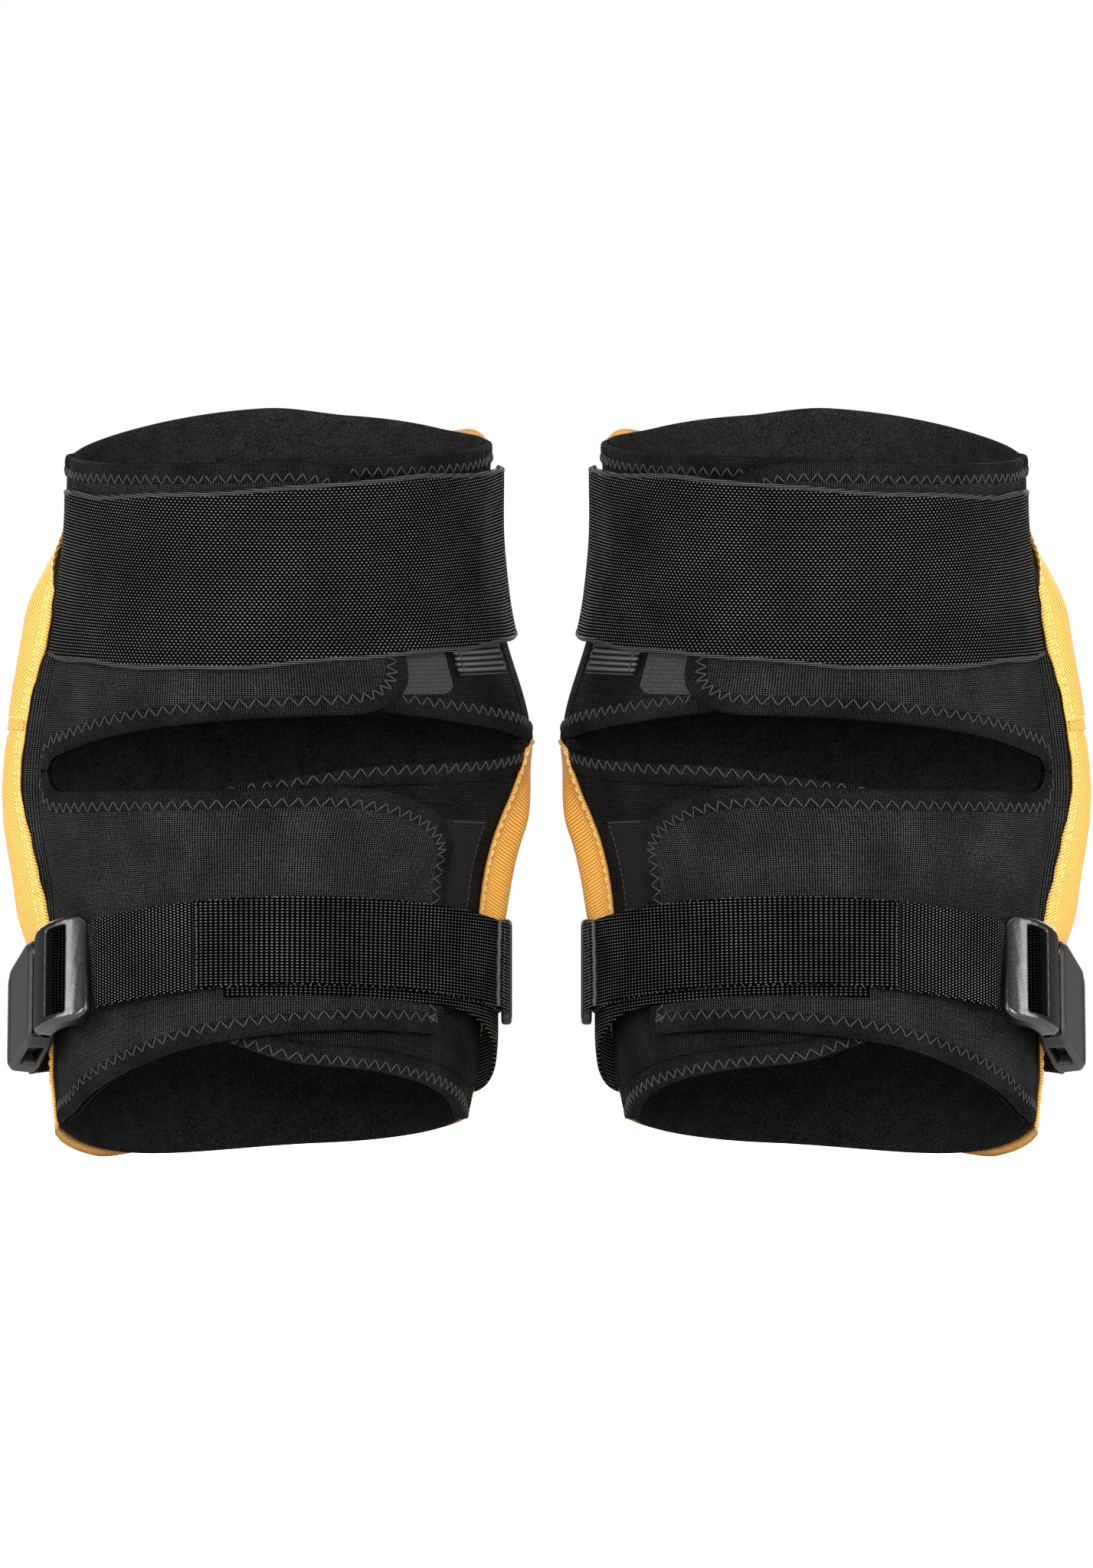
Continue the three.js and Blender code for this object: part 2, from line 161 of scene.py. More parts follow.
def on_form(angle, t, out):
    """Points in the left pad's own frame, in millimetres."""
    angle, t, out = np.broadcast_arrays(*(np.asarray(value, float) for value in (angle, t, out)))
    taper = 3.0 * np.maximum(0.0, (30.0 - t) / 30.0) + 0.8 * smooth(t, 205, 235)
    half_width = SLEEVE_HALF_WIDTH - taper + KNEE_SWELL * bump(t, KNEE_HEIGHT, SWELL_LENGTH)
    centre_y = -BEND_DEPTH * ((t - BEND_HEIGHT) / BEND_LENGTH) ** 2
    slope = RING_SLOPE_BOTTOM + (RING_SLOPE_TOP - RING_SLOPE_BOTTOM) * t / SLEEVE_LENGTH
    depth = np.where(cos(angle) > 0, BACK_DEPTH, FRONT_DEPTH)
    tuck = 4.0 * (1 - smooth(t, 8, 46)) * np.maximum(0, sin(angle)) ** 3
    x = leg_centre_x(t) + (half_width + out - tuck) * sin(angle)
    y = centre_y - (depth + out) * cos(angle)
    return np.stack([x, y, t + slope * y], axis=-1)


def on_buckle(x, y, z):
    """Points in the buckle's own frame: +x into the female half, +y outwards, +z up."""
    x, y, z = np.broadcast_arrays(*(np.asarray(value, float) for value in (x, y, z)))
    up = np.array([0.0, -BUCKLE_INTO[2], BUCKLE_INTO[1]])
    up = up / np.linalg.norm(up)
    outwards = np.cross(up, BUCKLE_INTO)
    radius = (LADDER_LENGTH - CURVE_START) / math.radians(CURVE_ANGLE)
    turn = np.maximum(0.0, -x - CURVE_START) / radius
    curved_x = np.where(turn > 0, -CURVE_START - (radius + y) * np.sin(turn), x)
    curved_y = np.where(turn > 0, (radius + y) * np.cos(turn) - radius, y)
    return BUCKLE_AT + curved_x[..., None] * BUCKLE_INTO + curved_y[..., None] * outwards + z[..., None] * up


def pad_offsets():
    """Where the left pad's own origin is, from the cap's place in the frame."""
    low, high = (np.array(v) * 1000.0 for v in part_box("left_knee_cap"))
    x = (low[0] + high[0]) / 2.0 - leg_centre_x(KNEE_HEIGHT)
    return np.array([float(x), high[1] - CAP_FRONT_Y, low[2] - (CAP_MIDDLE_T - CAP_HALF_HEIGHT)])


PAD_OFFSET = pad_offsets()


def to_world(points, side):
    """Left pad millimetres to frame metres, mirrored for the right pad."""
    world = (np.asarray(points, float) + PAD_OFFSET) / 1000.0
    world[..., 0] *= SIDES[side]
    return world


# ---- Edges of the soft pieces, as heights along the leg ----
def shoulder(s):
    return 2.5 * smooth(s, 96, 130) * (1 - smooth(s, 160, 185))


def rim_top(s):
    return 255.1 + 2.5 * sin(s) + 5.5 * cos(s) ** 2 - shoulder(s)


def front_bottom(s):
    return 16.1 - 6.5 * smooth(s, 165, 235) + 1.5 * smooth(s, 240, 271)


def corner(s, end, length, drop):
    """How far a flap's rounded corner cuts in from its edge, up to its end."""
    along = np.clip((np.asarray(s, float) - end) * 1.152 / length + 1.0, 0.0, 0.98)
    return drop * (1.0 - np.sqrt(1.0 - along**2))


def quarter_round(along, length):
    """0 to 1 along a quarter circle: the rounded end of the gap behind the knee."""
    x = np.clip(np.asarray(along, float) / length, 0, 0.999)
    return 1.0 - np.sqrt(1.0 - x**2)


def thigh_outer_bottom(s):
    curve = 160.8 - 16.5 * ((s - 20) / 90) ** 2
    edge = np.maximum(curve, 145.6) - 6.2 * quarter_round(-67.5 - s, 8.5)
    return edge + corner(s, THIGH_FLAP_END, 18, 18)


def thigh_outer_top(s):
    return rim_top(s) - corner(s, THIGH_FLAP_END, 34, 30)


def thigh_inner_bottom(s):
    return 149.4 + 0.19 * (90 - s)


def calf_outer_top(s):
    edge = 131.3 + 1.2 * smooth(s, -20, 20) - corner(s, CALF_FLAP_END, 46, 25)
    return edge + 8.2 * quarter_round(-65 - s, 11)


def calf_outer_bottom(s):
    return 39 - 24 * ((np.maximum(s, -70) - 46) / 110) ** 2


def calf_inner_top(s):
    return 133.2 + 7 * np.maximum(0, s / 85) ** 3 - 7 * (1 - smooth(s, -10, 30))


def calf_inner_bottom(s):
    return 32 - 8 * np.maximum(0, s / 80) ** 2 + 9 * (1 - smooth(s, -14, 12))


def across_leg(s, width):
    """A strap's height along the leg, which spreads behind the knee where the rings fan out."""
    fan = (RING_SLOPE_TOP - RING_SLOPE_BOTTOM) / SLEEVE_LENGTH
    return width / (1 - fan * (BACK_DEPTH + 8) * cos(s))


def thigh_strap_middle(s):
    return 214.2 + 3.6 * sin(s) + 2.4 * bump(s, 28, 30)


def thigh_strap_half(s):
    width = ELASTIC_WIDTH - 4 * (1 - smooth(s, -60, -15)) - 3 * smooth(s, 40, 80)
    return across_leg(s, width) / 2


def thigh_strap_bottom(s):
    return thigh_strap_middle(s) - thigh_strap_half(s) + 0.35 * np.sin(np.asarray(s) * 0.21)


def thigh_strap_top(s):
    return thigh_strap_middle(s) + thigh_strap_half(s) + 0.35 * np.sin(np.asarray(s) * 0.17 + 1)


def webbing_half(s):
    return across_leg(s, WEBBING_WIDTH) / 2


def calf_strap_middle(s):
    return 71.2 - 7.6 * ((np.asarray(s, float) - 25) / 82) ** 2 + 1.3 * bump(s, 0, 36)


def calf_strap_bottom(s):
    return calf_strap_middle(s) - webbing_half(s)


def calf_strap_top(s):
    return calf_strap_middle(s) + webbing_half(s)


def return_middle(s):
    return calf_strap_middle(np.minimum(s, 60)) - 3.8 - 22 * smooth(s, 55, 112)


def tether_middle(s):
    return 53 + 0.28 * (245 - s)


# ---- Faces of the soft layers, as distances out from the sleeve's inner face ----
def cover_out(s, t):
    """The outer face of the padded front, before its seams pull it in."""
    from_left = COVER_LEFT - s
    from_right = s - COVER_RIGHT
    side = 18 * smooth(t, 45, 95) * (1 - smooth(t, 192, 232))
    right_side = 8.6 * smooth(t, 45, 95) * (1 - smooth(t, 118, 146))
    knee = KNEE_BULGE * smooth(t, 18, 80) * (1 - smooth(t, 190, 244))
    front = smooth(from_left, 30, 78) * smooth(from_right, 10, 78)
    left = smooth(from_left, -6, 18) * (1 - smooth(from_left, 60, 120))
    right = smooth(from_right, -12, 9) * (1 - smooth(from_right, 60, 120))
    return 5.9 + np.maximum(np.maximum(knee * front, side * left * 0.8), right_side * right)


def side_lift(s, t):
    """How far the side panels flare out to meet the padded front."""
    left_rise = np.maximum(0, cover_out(360 + LEFT_SEAM, t) - FABRIC - HUG - FLAP)
    right_rise = np.maximum(0, cover_out(COVER_MEETS, t) - FABRIC - HUG - NEOPRENE)
    return left_rise * smooth(-np.asarray(s), 86, -LEFT_SEAM) + right_rise * smooth(s, 84, RIGHT_SEAM)


def liner_in(s, t):
    """The liner flares at its side seams, where it is sewn to the side panels."""
    right = side_lift(RIGHT_SEAM, t) * (1 - smooth(s, RIGHT_SEAM, RIGHT_SEAM + 8))
    left = side_lift(LEFT_SEAM, t) * smooth(s, 352 + LEFT_SEAM, 360 + LEFT_SEAM)
    return left + right


def thigh_lift(s, t):
    return FLAP_LIFT * smooth(s, -60, -16) + side_lift(s, t)


def calf_lift(s, t):
    return FLAP_LIFT * smooth(s, -42, -14) + side_lift(s, t)


def thigh_strap_lift(s, t):
    """The strap lies on the outer flap, then drops to the ribbed strip on the inner one."""
    base = NEOPRENE + GAP
    over_flap = FLAP_LIFT + FLAP + GAP
    over_anchor = base + ELASTIC + GAP
    rise = base + (over_flap - base) * smooth(s, -66, -22)
    fall = over_flap + (over_anchor - over_flap) * smooth(s, 34, 56) + 0.4 * smooth(s, 78, 92)
    return np.where(np.asarray(s) < 34, rise, fall) + 0.45


def calf_strap_lift(s, t):
    return FLAP_LIFT + FLAP + GAP + 0.3 + (WEBBING - 0.2) * smooth(s, -40, -14)


def calf_strap_dive(s):
    """How far in the strap's end turns, towards the buckle."""
    return 5.0 * (1 - smooth(s, -56, -45))


def return_lift(s, t):
    return np.maximum(FLAP_LIFT + FLAP + GAP + 0.1, cover_out(np.maximum(s, COVER_RIGHT), t) + 2 * GAP)


def tether_lift(s, t):
    return cover_out(s, t) + 1.8 + 5 * smooth(s, 246, 258)


panel_out = above(side_lift, NEOPRENE)
thigh_flap_face = above(thigh_lift, FLAP)
calf_flap_face = above(calf_lift, FLAP)
thigh_strap_face = above(thigh_strap_lift, ELASTIC)
calf_strap_face = above(calf_strap_lift, WEBBING)


# ---- Materials: small node graphs over each piece's own millimetre UV map ----
class Nodes:
    """Short calls that add nodes to one material."""

    def __init__(self, name):
        self.material = bpy.data.materials.new(name)
        self.material.use_nodes = True
        self.tree = self.material.node_tree
        self.bsdf = self.tree.nodes["Principled BSDF"]

    def node(self, kind, **settings):
        made = self.tree.nodes.new(kind)
        for key, value in settings.items():
            setattr(made, key, value)
        return made

    def link(self, source, target):
        self.tree.links.new(source, target)

    def set(self, target, value):
        if isinstance(value, (int, float, tuple, list)):
            target.default_value = value
        else:
            self.link(value, target)

    def math(self, operation, a, b=0.0):
        made = self.node("ShaderNodeMath", operation=operation)
        self.set(made.inputs[0], a)
        self.set(made.inputs[1], b)
        return made.outputs[0]

    def add(self, a, b):
        return self.math("ADD", a, b)

    def times(self, a, b):
        return self.math("MULTIPLY", a, b)

    def power(self, a, b):
        return self.math("POWER", a, b)

    def uv(self):
        split = self.node("ShaderNodeSeparateXYZ")
        self.link(self.node("ShaderNodeUVMap", uv_map="mm").outputs[0], split.inputs[0])
        return split.outputs[0], split.outputs[1]

    def noise(self, scale, detail=2.0, roughness=0.5):
        made = self.node("ShaderNodeTexNoise")
        made.inputs["Scale"].default_value = scale
        made.inputs["Detail"].default_value = detail
        made.inputs["Roughness"].default_value = roughness
        self.link(self.node("ShaderNodeTexCoord").outputs["Object"], made.inputs["Vector"])
        return made.outputs["Fac"]

    def wave(self, value, pitch, phase=0.0):
        """0 to 1 and back once every pitch."""
        turned = self.add(self.times(value, 2 * math.pi / pitch), phase)
        return self.add(self.times(self.math("SINE", turned), 0.5), 0.5)

    def mix(self, factor, a, b):
        made = self.node("ShaderNodeMix", data_type="RGBA")
        self.set(made.inputs[0], factor)
        self.set(made.inputs[6], a)
        self.set(made.inputs[7], b)
        return made.outputs[2]

    def ramp(self, value, low, high):
        made = self.node("ShaderNodeMapRange")
        self.set(made.inputs[0], value)
        made.inputs[1].default_value = low
        made.inputs[2].default_value = high
        return made.outputs[0]

    def bump(self, height, strength, distance):
        made = self.node("ShaderNodeBump")
        made.inputs["Strength"].default_value = strength
        made.inputs["Distance"].default_value = distance
        self.link(height, made.inputs["Height"])
        return made.outputs[0]

    def finish(self, color, roughness, normal=None, sheen=0.0, specular=0.5):
        self.set(self.bsdf.inputs["Base Color"], color)
        self.set(self.bsdf.inputs["Roughness"], roughness)
        self.set(self.bsdf.inputs["Specular IOR Level"], specular)
        self.bsdf.inputs["Sheen Weight"].default_value = sheen
        if normal:
            self.link(normal, self.bsdf.inputs["Normal"])
        return self.material


def grey(value):
    return (value, value, value * 1.02, 1.0)


def darker(color, share):
    return tuple(c * share for c in color[:3]) + (1,)


def neoprene_material(name, base, knit_pitch=0.9):
    """Stretch jersey on neoprene: fine columns of loops with a slight mottle."""
    n = Nodes(name)
    u, v = n.uv()
    columns = n.wave(u, knit_pitch)
    rows = n.wave(n.add(v, n.times(columns, 0.35)), knit_pitch * 0.9)
    loops = n.times(columns, rows)
    speckle = n.noise(1500)
    mottle = n.noise(60, 3.0)
    height = n.add(loops, n.times(speckle, 0.9))
    lit = n.power(n.times(n.ramp(height, 0.45, 1.1), n.ramp(mottle, -0.5, 0.8)), 1.7)
    color = n.mix(lit, grey(base * 0.12), grey(base * 4.9))
    return n.finish(color, 0.8, n.bump(height, 0.7, 0.0004), specular=n.times(lit, 0.35))


def fleece_material():
    n = Nodes("fleece")
    fuzz = n.noise(1500, 3.0, 0.7)
    clumps = n.noise(160, 3.0)
    height = n.add(fuzz, n.times(clumps, 0.18))
    color = n.mix(n.ramp(height, 0.45, 0.82), grey(0.0035), grey(0.03))
    return n.finish(color, 1.0, n.bump(height, 0.8, 0.0008), specular=0.02)


def elastic_material():
    """Knit elastic: staggered bright knots over a dark ground."""
    n = Nodes("knit_elastic")
    u, v = n.uv()
    pitch_u, pitch_v = 1.5, 1.15
    shift = n.times(n.math("FLOOR", n.math("DIVIDE", v, pitch_v)), pitch_u / 2)
    cell_u = n.wave(n.add(u, shift), pitch_u)
    cell_v = n.wave(v, pitch_v, -math.pi / 2)
    knots = n.times(n.power(cell_u, 1.4), n.power(cell_v, 1.2))
    fibre = n.noise(1600)
    patch = n.noise(45, 3.0)
    height = n.add(knots, n.times(fibre, 0.35))
    lit = n.power(n.times(n.ramp(height, 0.3, 1.1), n.ramp(patch, -0.9, 0.8)), 2.0)
    color = n.mix(lit, grey(0.001), grey(0.29))
    return n.finish(color, 0.5, n.bump(height, 1.0, 0.0007), specular=n.times(lit, 0.7))


def cord_material(name, pitch, value):
    """Fine lengthwise ribs."""
    n = Nodes(name)
    u, v = n.uv()
    ribs = n.wave(v, pitch)
    ticks = n.wave(u, 0.8)
    height = n.add(ribs, n.times(ticks, 0.3))
    lit = n.ramp(height, 0.2, 1.2)
    color = n.mix(lit, grey(value * 0.1), grey(value * 2.2))
    return n.finish(color, 0.6, n.bump(height, 0.7, 0.0005), specular=n.times(lit, 0.4))


def webbing_material(name, value, pitch_u=1.3, pitch_v=1.1, stagger=0.5):
    """Heavy webbing: upright ribs of rounded beads. A stagger of a half makes them lean like a twill."""
    n = Nodes(name)
    u, v = n.uv()
    column = n.math("FLOOR", n.math("DIVIDE", u, pitch_u))
    shift = n.times(n.math("MODULO", column, 2.0), pitch_v * stagger)
    ribs = n.power(n.wave(u, pitch_u, -math.pi / 2), 0.8)
    beads = n.power(n.wave(n.add(v, shift), pitch_v), 1.3)
    fibre = n.noise(1400)
    height = n.add(n.times(ribs, beads), n.times(fibre, 0.3))
    patch = n.noise(50, 3.0)
    lit = n.power(n.times(n.ramp(height, 0.25, 1.1), n.ramp(patch, -0.9, 0.8)), 2.4)
    color = n.mix(lit, grey(value * 0.03), grey(value * 17.0))
    return n.finish(color, 0.5, n.bump(height, 1.0, 0.0009), specular=n.times(lit, 0.7))


def cover_material():
    """Coated ballistic cloth: plump slanting weft ribs crossed by finer warps."""
    n = Nodes("cover_cloth")
    u, v = n.uv()
    ribs = n.wave(n.add(v, n.times(u, 0.55)), 1.15)
    warps = n.wave(n.math("SUBTRACT", u, n.times(v, 0.12)), 0.95)
    fibre = n.noise(1800)
    woven = n.add(n.times(ribs, 0.7), n.times(n.times(ribs, warps), 0.5))
    height = n.add(woven, n.times(fibre, 0.25))
    broad = n.noise(25, 3.0)
    thread = n.mix(n.ramp(height, 0.2, 1.0), (0.46, 0.155, 0.012, 1), (0.97, 0.56, 0.12, 1))
    color = n.mix(n.times(n.ramp(broad, 0.35, 0.75), 0.2), thread, (0.84, 0.44, 0.075, 1))
    return n.finish(color, 0.6, n.bump(height, 0.6, 0.0004), sheen=0.04, specular=0.35)


def hook_material(name, value):
    n = Nodes(name)
    u, v = n.uv()
    hooks = n.times(n.wave(u, 1.3), n.wave(v, 1.6))
    height = n.add(n.times(hooks, 0.35), n.noise(2200))
    color = n.mix(n.ramp(height, 0.3, 1.0), grey(value * 0.4), grey(value * 1.9))
    return n.finish(color, 0.75, n.bump(height, 0.6, 0.0004), specular=0.1)


def plastic_material(name, value, roughness, grain, shine):
    """Spark-eroded moulding: fine grain that breaks up the highlights, and a painted highlight that makes the
    convex edges paler.
    """
    n = Nodes(name)
    fine = n.noise(2600, 3.0)
    flow = n.noise(90)
    # painted highlight: convex edges, picked out by pointiness, are coloured paler
    edge = n.ramp(n.node("ShaderNodeNewGeometry").outputs["Pointiness"], 0.52, 0.60)
    base = n.mix(flow, grey(value * 0.8), grey(value * 1.2))
    color = n.mix(n.times(edge, 0.35), base, grey(value * 3.0))
    rough = n.add(n.times(fine, 0.2), roughness - 0.1)
    return n.finish(color, rough, n.bump(fine, grain, 0.0003), specular=shine)


def rubber_material():
    n = Nodes("cap_rubber")
    grain = n.noise(1200, 3.0)
    scuffs = n.noise(70, 5.0, 0.75)
    color = n.mix(n.ramp(scuffs, 0.5, 0.8), grey(0.012), grey(0.032))
    return n.finish(color, n.add(n.times(scuffs, 0.25), 0.42), n.bump(grain, 0.25, 0.0003), specular=0.4)


def thread_material(name, color):
    n = Nodes(name)
    twist = n.noise(2500)
    shade = n.mix(twist, darker(color, 0.55), color)
    return n.finish(shade, 0.6, n.bump(twist, 0.4, 0.0002), specular=0.4)


def foam_material(name, color):
    n = Nodes(name)
    cells = n.noise(700, 4.0)
    return n.finish(n.mix(cells, darker(color, 0.5), color), 0.9, n.bump(cells, 0.6, 0.0006))


MATERIALS = {
    "neoprene": neoprene_material("neoprene_jersey", 0.013),
    "panel": neoprene_material("neoprene_panel", 0.0055),
    "binding": neoprene_material("binding_tape", 0.006, 0.7),
    "fleece": fleece_material(),
    "elastic": elastic_material(),
    "selvedge": cord_material("elastic_selvedge", 0.7, 0.028),
    "anchor": cord_material("ribbed_elastic", 2.1, 0.03),
    "webbing": webbing_material("webbing", 0.022),
    "webbing_loop": webbing_material("webbing_loop_face", 0.014, 1.6, 1.2, 0.0),
    # painted shade: webbing coloured near-black for the shade inside the buckle's slot
    "webbing_shade": webbing_material("webbing_shade", 0.0012),
    "cover": cover_material(),
    "hook": hook_material("hook_tape", 0.024),
    "hook_dark": hook_material("hook_tape_dark", 0.005),
    "plastic": plastic_material("buckle_plastic", 0.004, 0.27, 0.1, 0.75),
    "plastic_matte": plastic_material("buckle_plastic_matte", 0.009, 0.5, 0.3, 0.45),
    "cap": rubber_material(),
    "thread": thread_material("thread_grey", (0.05, 0.05, 0.052, 1)),
    "thread_cover": thread_material("thread_cover", (0.95, 0.72, 0.34, 1)),
    "foam": foam_material("foam_cells", (0.05, 0.05, 0.055, 1)),
    "gel": foam_material("gel_blue", (0.05, 0.13, 0.22, 1)),
}


# ---- Pieces: riding and replacing ----
def world_point(side, angle, t, out):
    return tuple(to_world(on_form(angle, t, out), side))


def settle(piece, side, name, slot="neoprene", body="pad", bend=None):
    """Puts a piece on its body unless it has a bend, where it stands for the CAD node of this name if there
    is one.

    bend is (other body, start, end), with start and end as (angle, height, out); with a bend the piece is
    only baked in place, and these are not used.
    """
    if bend:
        other, start, end = bend
        start, end = world_point(side, *start), world_point(side, *end)
        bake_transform(piece)
    else:
        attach(piece, f"{side}_{body}")
    if f"{side}_{name}" in NODES:
        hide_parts(f"{side}_{name}")


def make_piece(name, side, points, faces, material, uvs=None, lining_from=None, **ride):
    """A piece from left-pad millimetres, with the lining on its faces from lining_from on."""
    points = np.asarray(points, float).reshape(-1, 3)
    if side == "right":
        faces = [tuple(reversed(face)) for face in faces]
    mesh = bpy.data.meshes.new(f"{side}_{name}")
    mesh.from_pydata([tuple(p) for p in to_world(points, side)], [], faces)
    mesh.validate()
    if uvs is not None:
        layer = mesh.uv_layers.new(name="mm")
        indices = np.zeros(len(mesh.loops), np.int64)
        mesh.loops.foreach_get("vertex_index", indices)
        layer.data.foreach_set("uv", uvs[indices].ravel())
    mesh.polygons.foreach_set("use_smooth", [True] * len(mesh.polygons))
    mesh.materials.append(MATERIALS[material])
    if lining_from is not None:
        mesh.materials.append(MATERIALS["fleece"])
        is_lining = np.arange(len(mesh.polygons)) >= lining_from
        mesh.polygons.foreach_set("material_index", is_lining.astype(np.int32))
    piece = bpy.data.objects.new(f"{side}_{name}", mesh)
    bpy.context.scene.collection.objects.link(piece)
    settle(piece, side, name, **ride)


# ---- Mesh helpers ----
def graded(length, step, edge):
    """Fractions from 0 to 1, close together within the rounded edge at each end."""
    edge = min(edge, length / 3.0)
    near = np.array([0.0, 0.06, 0.22, 0.5, 1.0]) * edge
    count = max(2, int(round((length - 2 * edge) / step)) + 1)
    middle = np.linspace(edge, length - edge, count)
    return np.concatenate([near[:-1], middle, (length - near[:-1])[::-1]]) / length


def grid_faces(rows, columns, offset=0, flip=False):
    faces = []
    for i in range(rows - 1):
        for j in range(columns - 1):
            a = offset + i * columns + j
            quad = (a, a + columns, a + columns + 1, a + 1)
            faces.append(quad[::-1] if flip else quad)
    return faces


def two_skins(top, low, uv, flip):
    """A closed sheet from its two skins, joined along their shared outline: points, faces and UVs."""
    rows, columns = top.shape[:2]
    count = rows * columns
    faces = grid_faces(rows, columns, 0, flip) + grid_faces(rows, columns, count, not flip)
    points = np.concatenate([top.reshape(-1, 3), low.reshape(-1, 3)])
    uv = np.concatenate([uv.reshape(-1, 2), uv.reshape(-1, 2)])
    target = np.arange(2 * count)
    index = np.arange(count).reshape(rows, columns)
    rim = np.unique(np.concatenate([index[0], index[-1], index[:, 0], index[:, -1]]))
    target[count + rim] = rim
    keep = np.unique(target)
    renumber = np.full(2 * count, -1)
    renumber[keep] = np.arange(len(keep))
    faces = [tuple(int(renumber[target[i]]) for i in face) for face in faces]
    return points[keep], faces, uv[keep]


def sheet_arrays(start, end, bottom, top, inner, outer, step=2.0, extra=None, edge=None, up_step=None):
    """The closed, round-edged skin of a soft sheet between two angles, two edges and two faces.

    extra is a ripple of both faces. The sheet is full from edge millimetres in from its outline. step is the
    mesh size, and up_step the mesh size along the leg where that differs.
    """
    bottom, top, inner, outer = (as_function(value) for value in (bottom, top, inner, outer))
    length = abs(end - start) * MM_PER_DEGREE
    middle = (start + end) / 2.0
    height = float(top(middle)) - float(bottom(middle))
    half_way = float(bottom(middle)) + height / 2
    thickness = float(outer(middle, half_way)) - float(inner(middle, half_way))
    edge = thickness * 0.6 if edge is None else edge
    across = graded(length, step, edge)
    up = graded(height, up_step or step, edge)
    angles = start + (end - start) * across[:, None]
    heights = bottom(angles) + (top(angles) - bottom(angles)) * up[None, :]
    angles = np.broadcast_to(angles, heights.shape)
    tall = (top(angles) - bottom(angles)) + 0.0 * heights
    to_side = np.minimum(across, 1 - across)[:, None] * length
    to_rim = np.minimum(up, 1 - up)[None, :] * tall
    inset = np.clip(np.minimum(to_side, to_rim) / edge, 0.0, 1.0)
    fullness = np.sqrt(1.0 - (1.0 - inset) ** 2)
    low, high = inner(angles, heights), outer(angles, heights)
    centre, half = (low + high) / 2.0, (high - low) / 2.0
    ripple = 0.0 if extra is None else extra(angles, heights)
    top_points = on_form(angles, heights, centre + half * fullness + ripple)
    low_points = on_form(angles, heights, centre - half * fullness + ripple)
    uv = np.stack([angles * MM_PER_DEGREE, heights], axis=-1)
    return two_skins(top_points, low_points, uv, end > start)


def sheet(name, side, material, *shape, slot="neoprene", body="pad", bend=None, **mesh):
    """A soft sheet. Neoprene is lined with fleece on the leg's side."""
    points, faces, uv = sheet_arrays(*shape, **mesh)
    lining_from = len(faces) // 2 if material in ("neoprene", "panel") else None
    make_piece(name, side, points, faces, material, uv, lining_from, slot=slot, body=body, bend=bend)


# ---- Edge paths: points (angle, height) along an edge, with the fabric on a known side ----
def line(function, start, end, count=60):
    angles = np.linspace(start, end, count)
    return np.stack([angles, function(angles) + 0.0 * angles], axis=-1)


def level(height, start, end, count):
    return line(lambda s: height, start, end, count)


def upright(angle, low, high, count=12):
    return np.stack([np.full(count, float(angle)), np.linspace(low, high, count)], axis=-1)


def resample(path, step):
    """Evenly spaced points along a path, by length in the flattened fabric, and those lengths."""
    path = np.asarray(path, float)
    flat = path * np.array([MM_PER_DEGREE, 1.0])
    lengths = np.concatenate([[0.0], np.cumsum(np.linalg.norm(np.diff(flat, axis=0), axis=1))])
    count = max(2, int(round(lengths[-1] / step)) + 1)
    wanted = np.linspace(0.0, lengths[-1], count)
    return np.stack([np.interp(wanted, lengths, path[:, k]) for k in (0, 1)], axis=-1), wanted


def soften(path):
    """Eases the kinks out of a resampled path."""
    path = path.copy()
    for _ in range(3):
        path[1:-1] = 0.25 * path[:-2] + 0.5 * path[1:-1] + 0.25 * path[2:]
    return path


def inward_normals(path, fabric_on_left):
    """Unit normals in the flattened fabric, pointing from the edge into the piece."""
    flat = path * np.array([MM_PER_DEGREE, 1.0])
    along = np.gradient(flat, axis=0)
    along /= np.linalg.norm(along, axis=1)[:, None] + 1e-9
    normal = np.stack([-along[:, 1], along[:, 0]], axis=-1)
    return normal if fabric_on_left else -normal


def inset_path(path, normals, distance):
    return path + normals * np.asarray(distance)[..., None] / np.array([MM_PER_DEGREE, 1.0])


def tube_arrays(rings):
    """A closed tube through rings of points, shaped (ring, point, 3)."""
    count, around = rings.shape[:2]
    faces = []
    for i in range(count - 1):
        for j in range(around):
            k = (j + 1) % around
            faces.append((i * around + j, i * around + k, (i + 1) * around + k, (i + 1) * around + j))
    faces.append(tuple(range(around))[::-1])
    faces.append(tuple((count - 1) * around + j for j in range(around)))
    return rings.reshape(-1, 3), faces


def binding(name, side, path, fabric_on_left, inner, outer, **ride):
    """Tape folded over an edge: a shallow C section that follows the path."""
    path, lengths = resample(path, 2.2)
    path = soften(path)
    normals = inward_normals(path, fabric_on_left)
    pucker = 0.16 * np.sin(lengths * 2 * math.pi / 4.6)
    width = BINDING_WIDTH
    section = [
        # distance in from the edge, share of the way to the outer face, stand-off in thicknesses
        (width, 1, -0.25), (width - 0.25, 1, 0.75), (width * 0.62, 1, 1.1), (width * 0.3, 1, 1.25),
        (0.9, 1, 1.0), (0.05, 1, 0.0), (-0.35, 0.75, 0.0), (-0.5, 0.5, 0.0), (-0.35, 0.25, 0.0),
        (0.05, 0, 0.0), (0.9, 0, -0.7), (width * 0.5, 0, -0.8), (width - 0.25, 0, -0.6), (width, 0, 0.25),
    ]
    rings = []
    for distance, share, off in section:
        at = inset_path(path, normals, np.full(len(path), distance))
        low, high = inner(at[:, 0], at[:, 1]), outer(at[:, 0], at[:, 1])
        out = low + (high - low) * share + off * BINDING
        if share == 1 and off > 0:
            out = out + pucker * (1.0 if off > 1 else 0.5)
        rings.append(on_form(at[:, 0], at[:, 1], out))
    points, faces = tube_arrays(np.stack(rings, axis=1))
    distances = np.array([row[0] for row in section])
    uv = np.stack(np.broadcast_arrays(lengths[:, None], distances[None, :]), axis=-1)
    if fabric_on_left:
        faces = [face[::-1] for face in faces]
    make_piece(name, side, points, faces, "binding", uv.reshape(-1, 2), **ride)


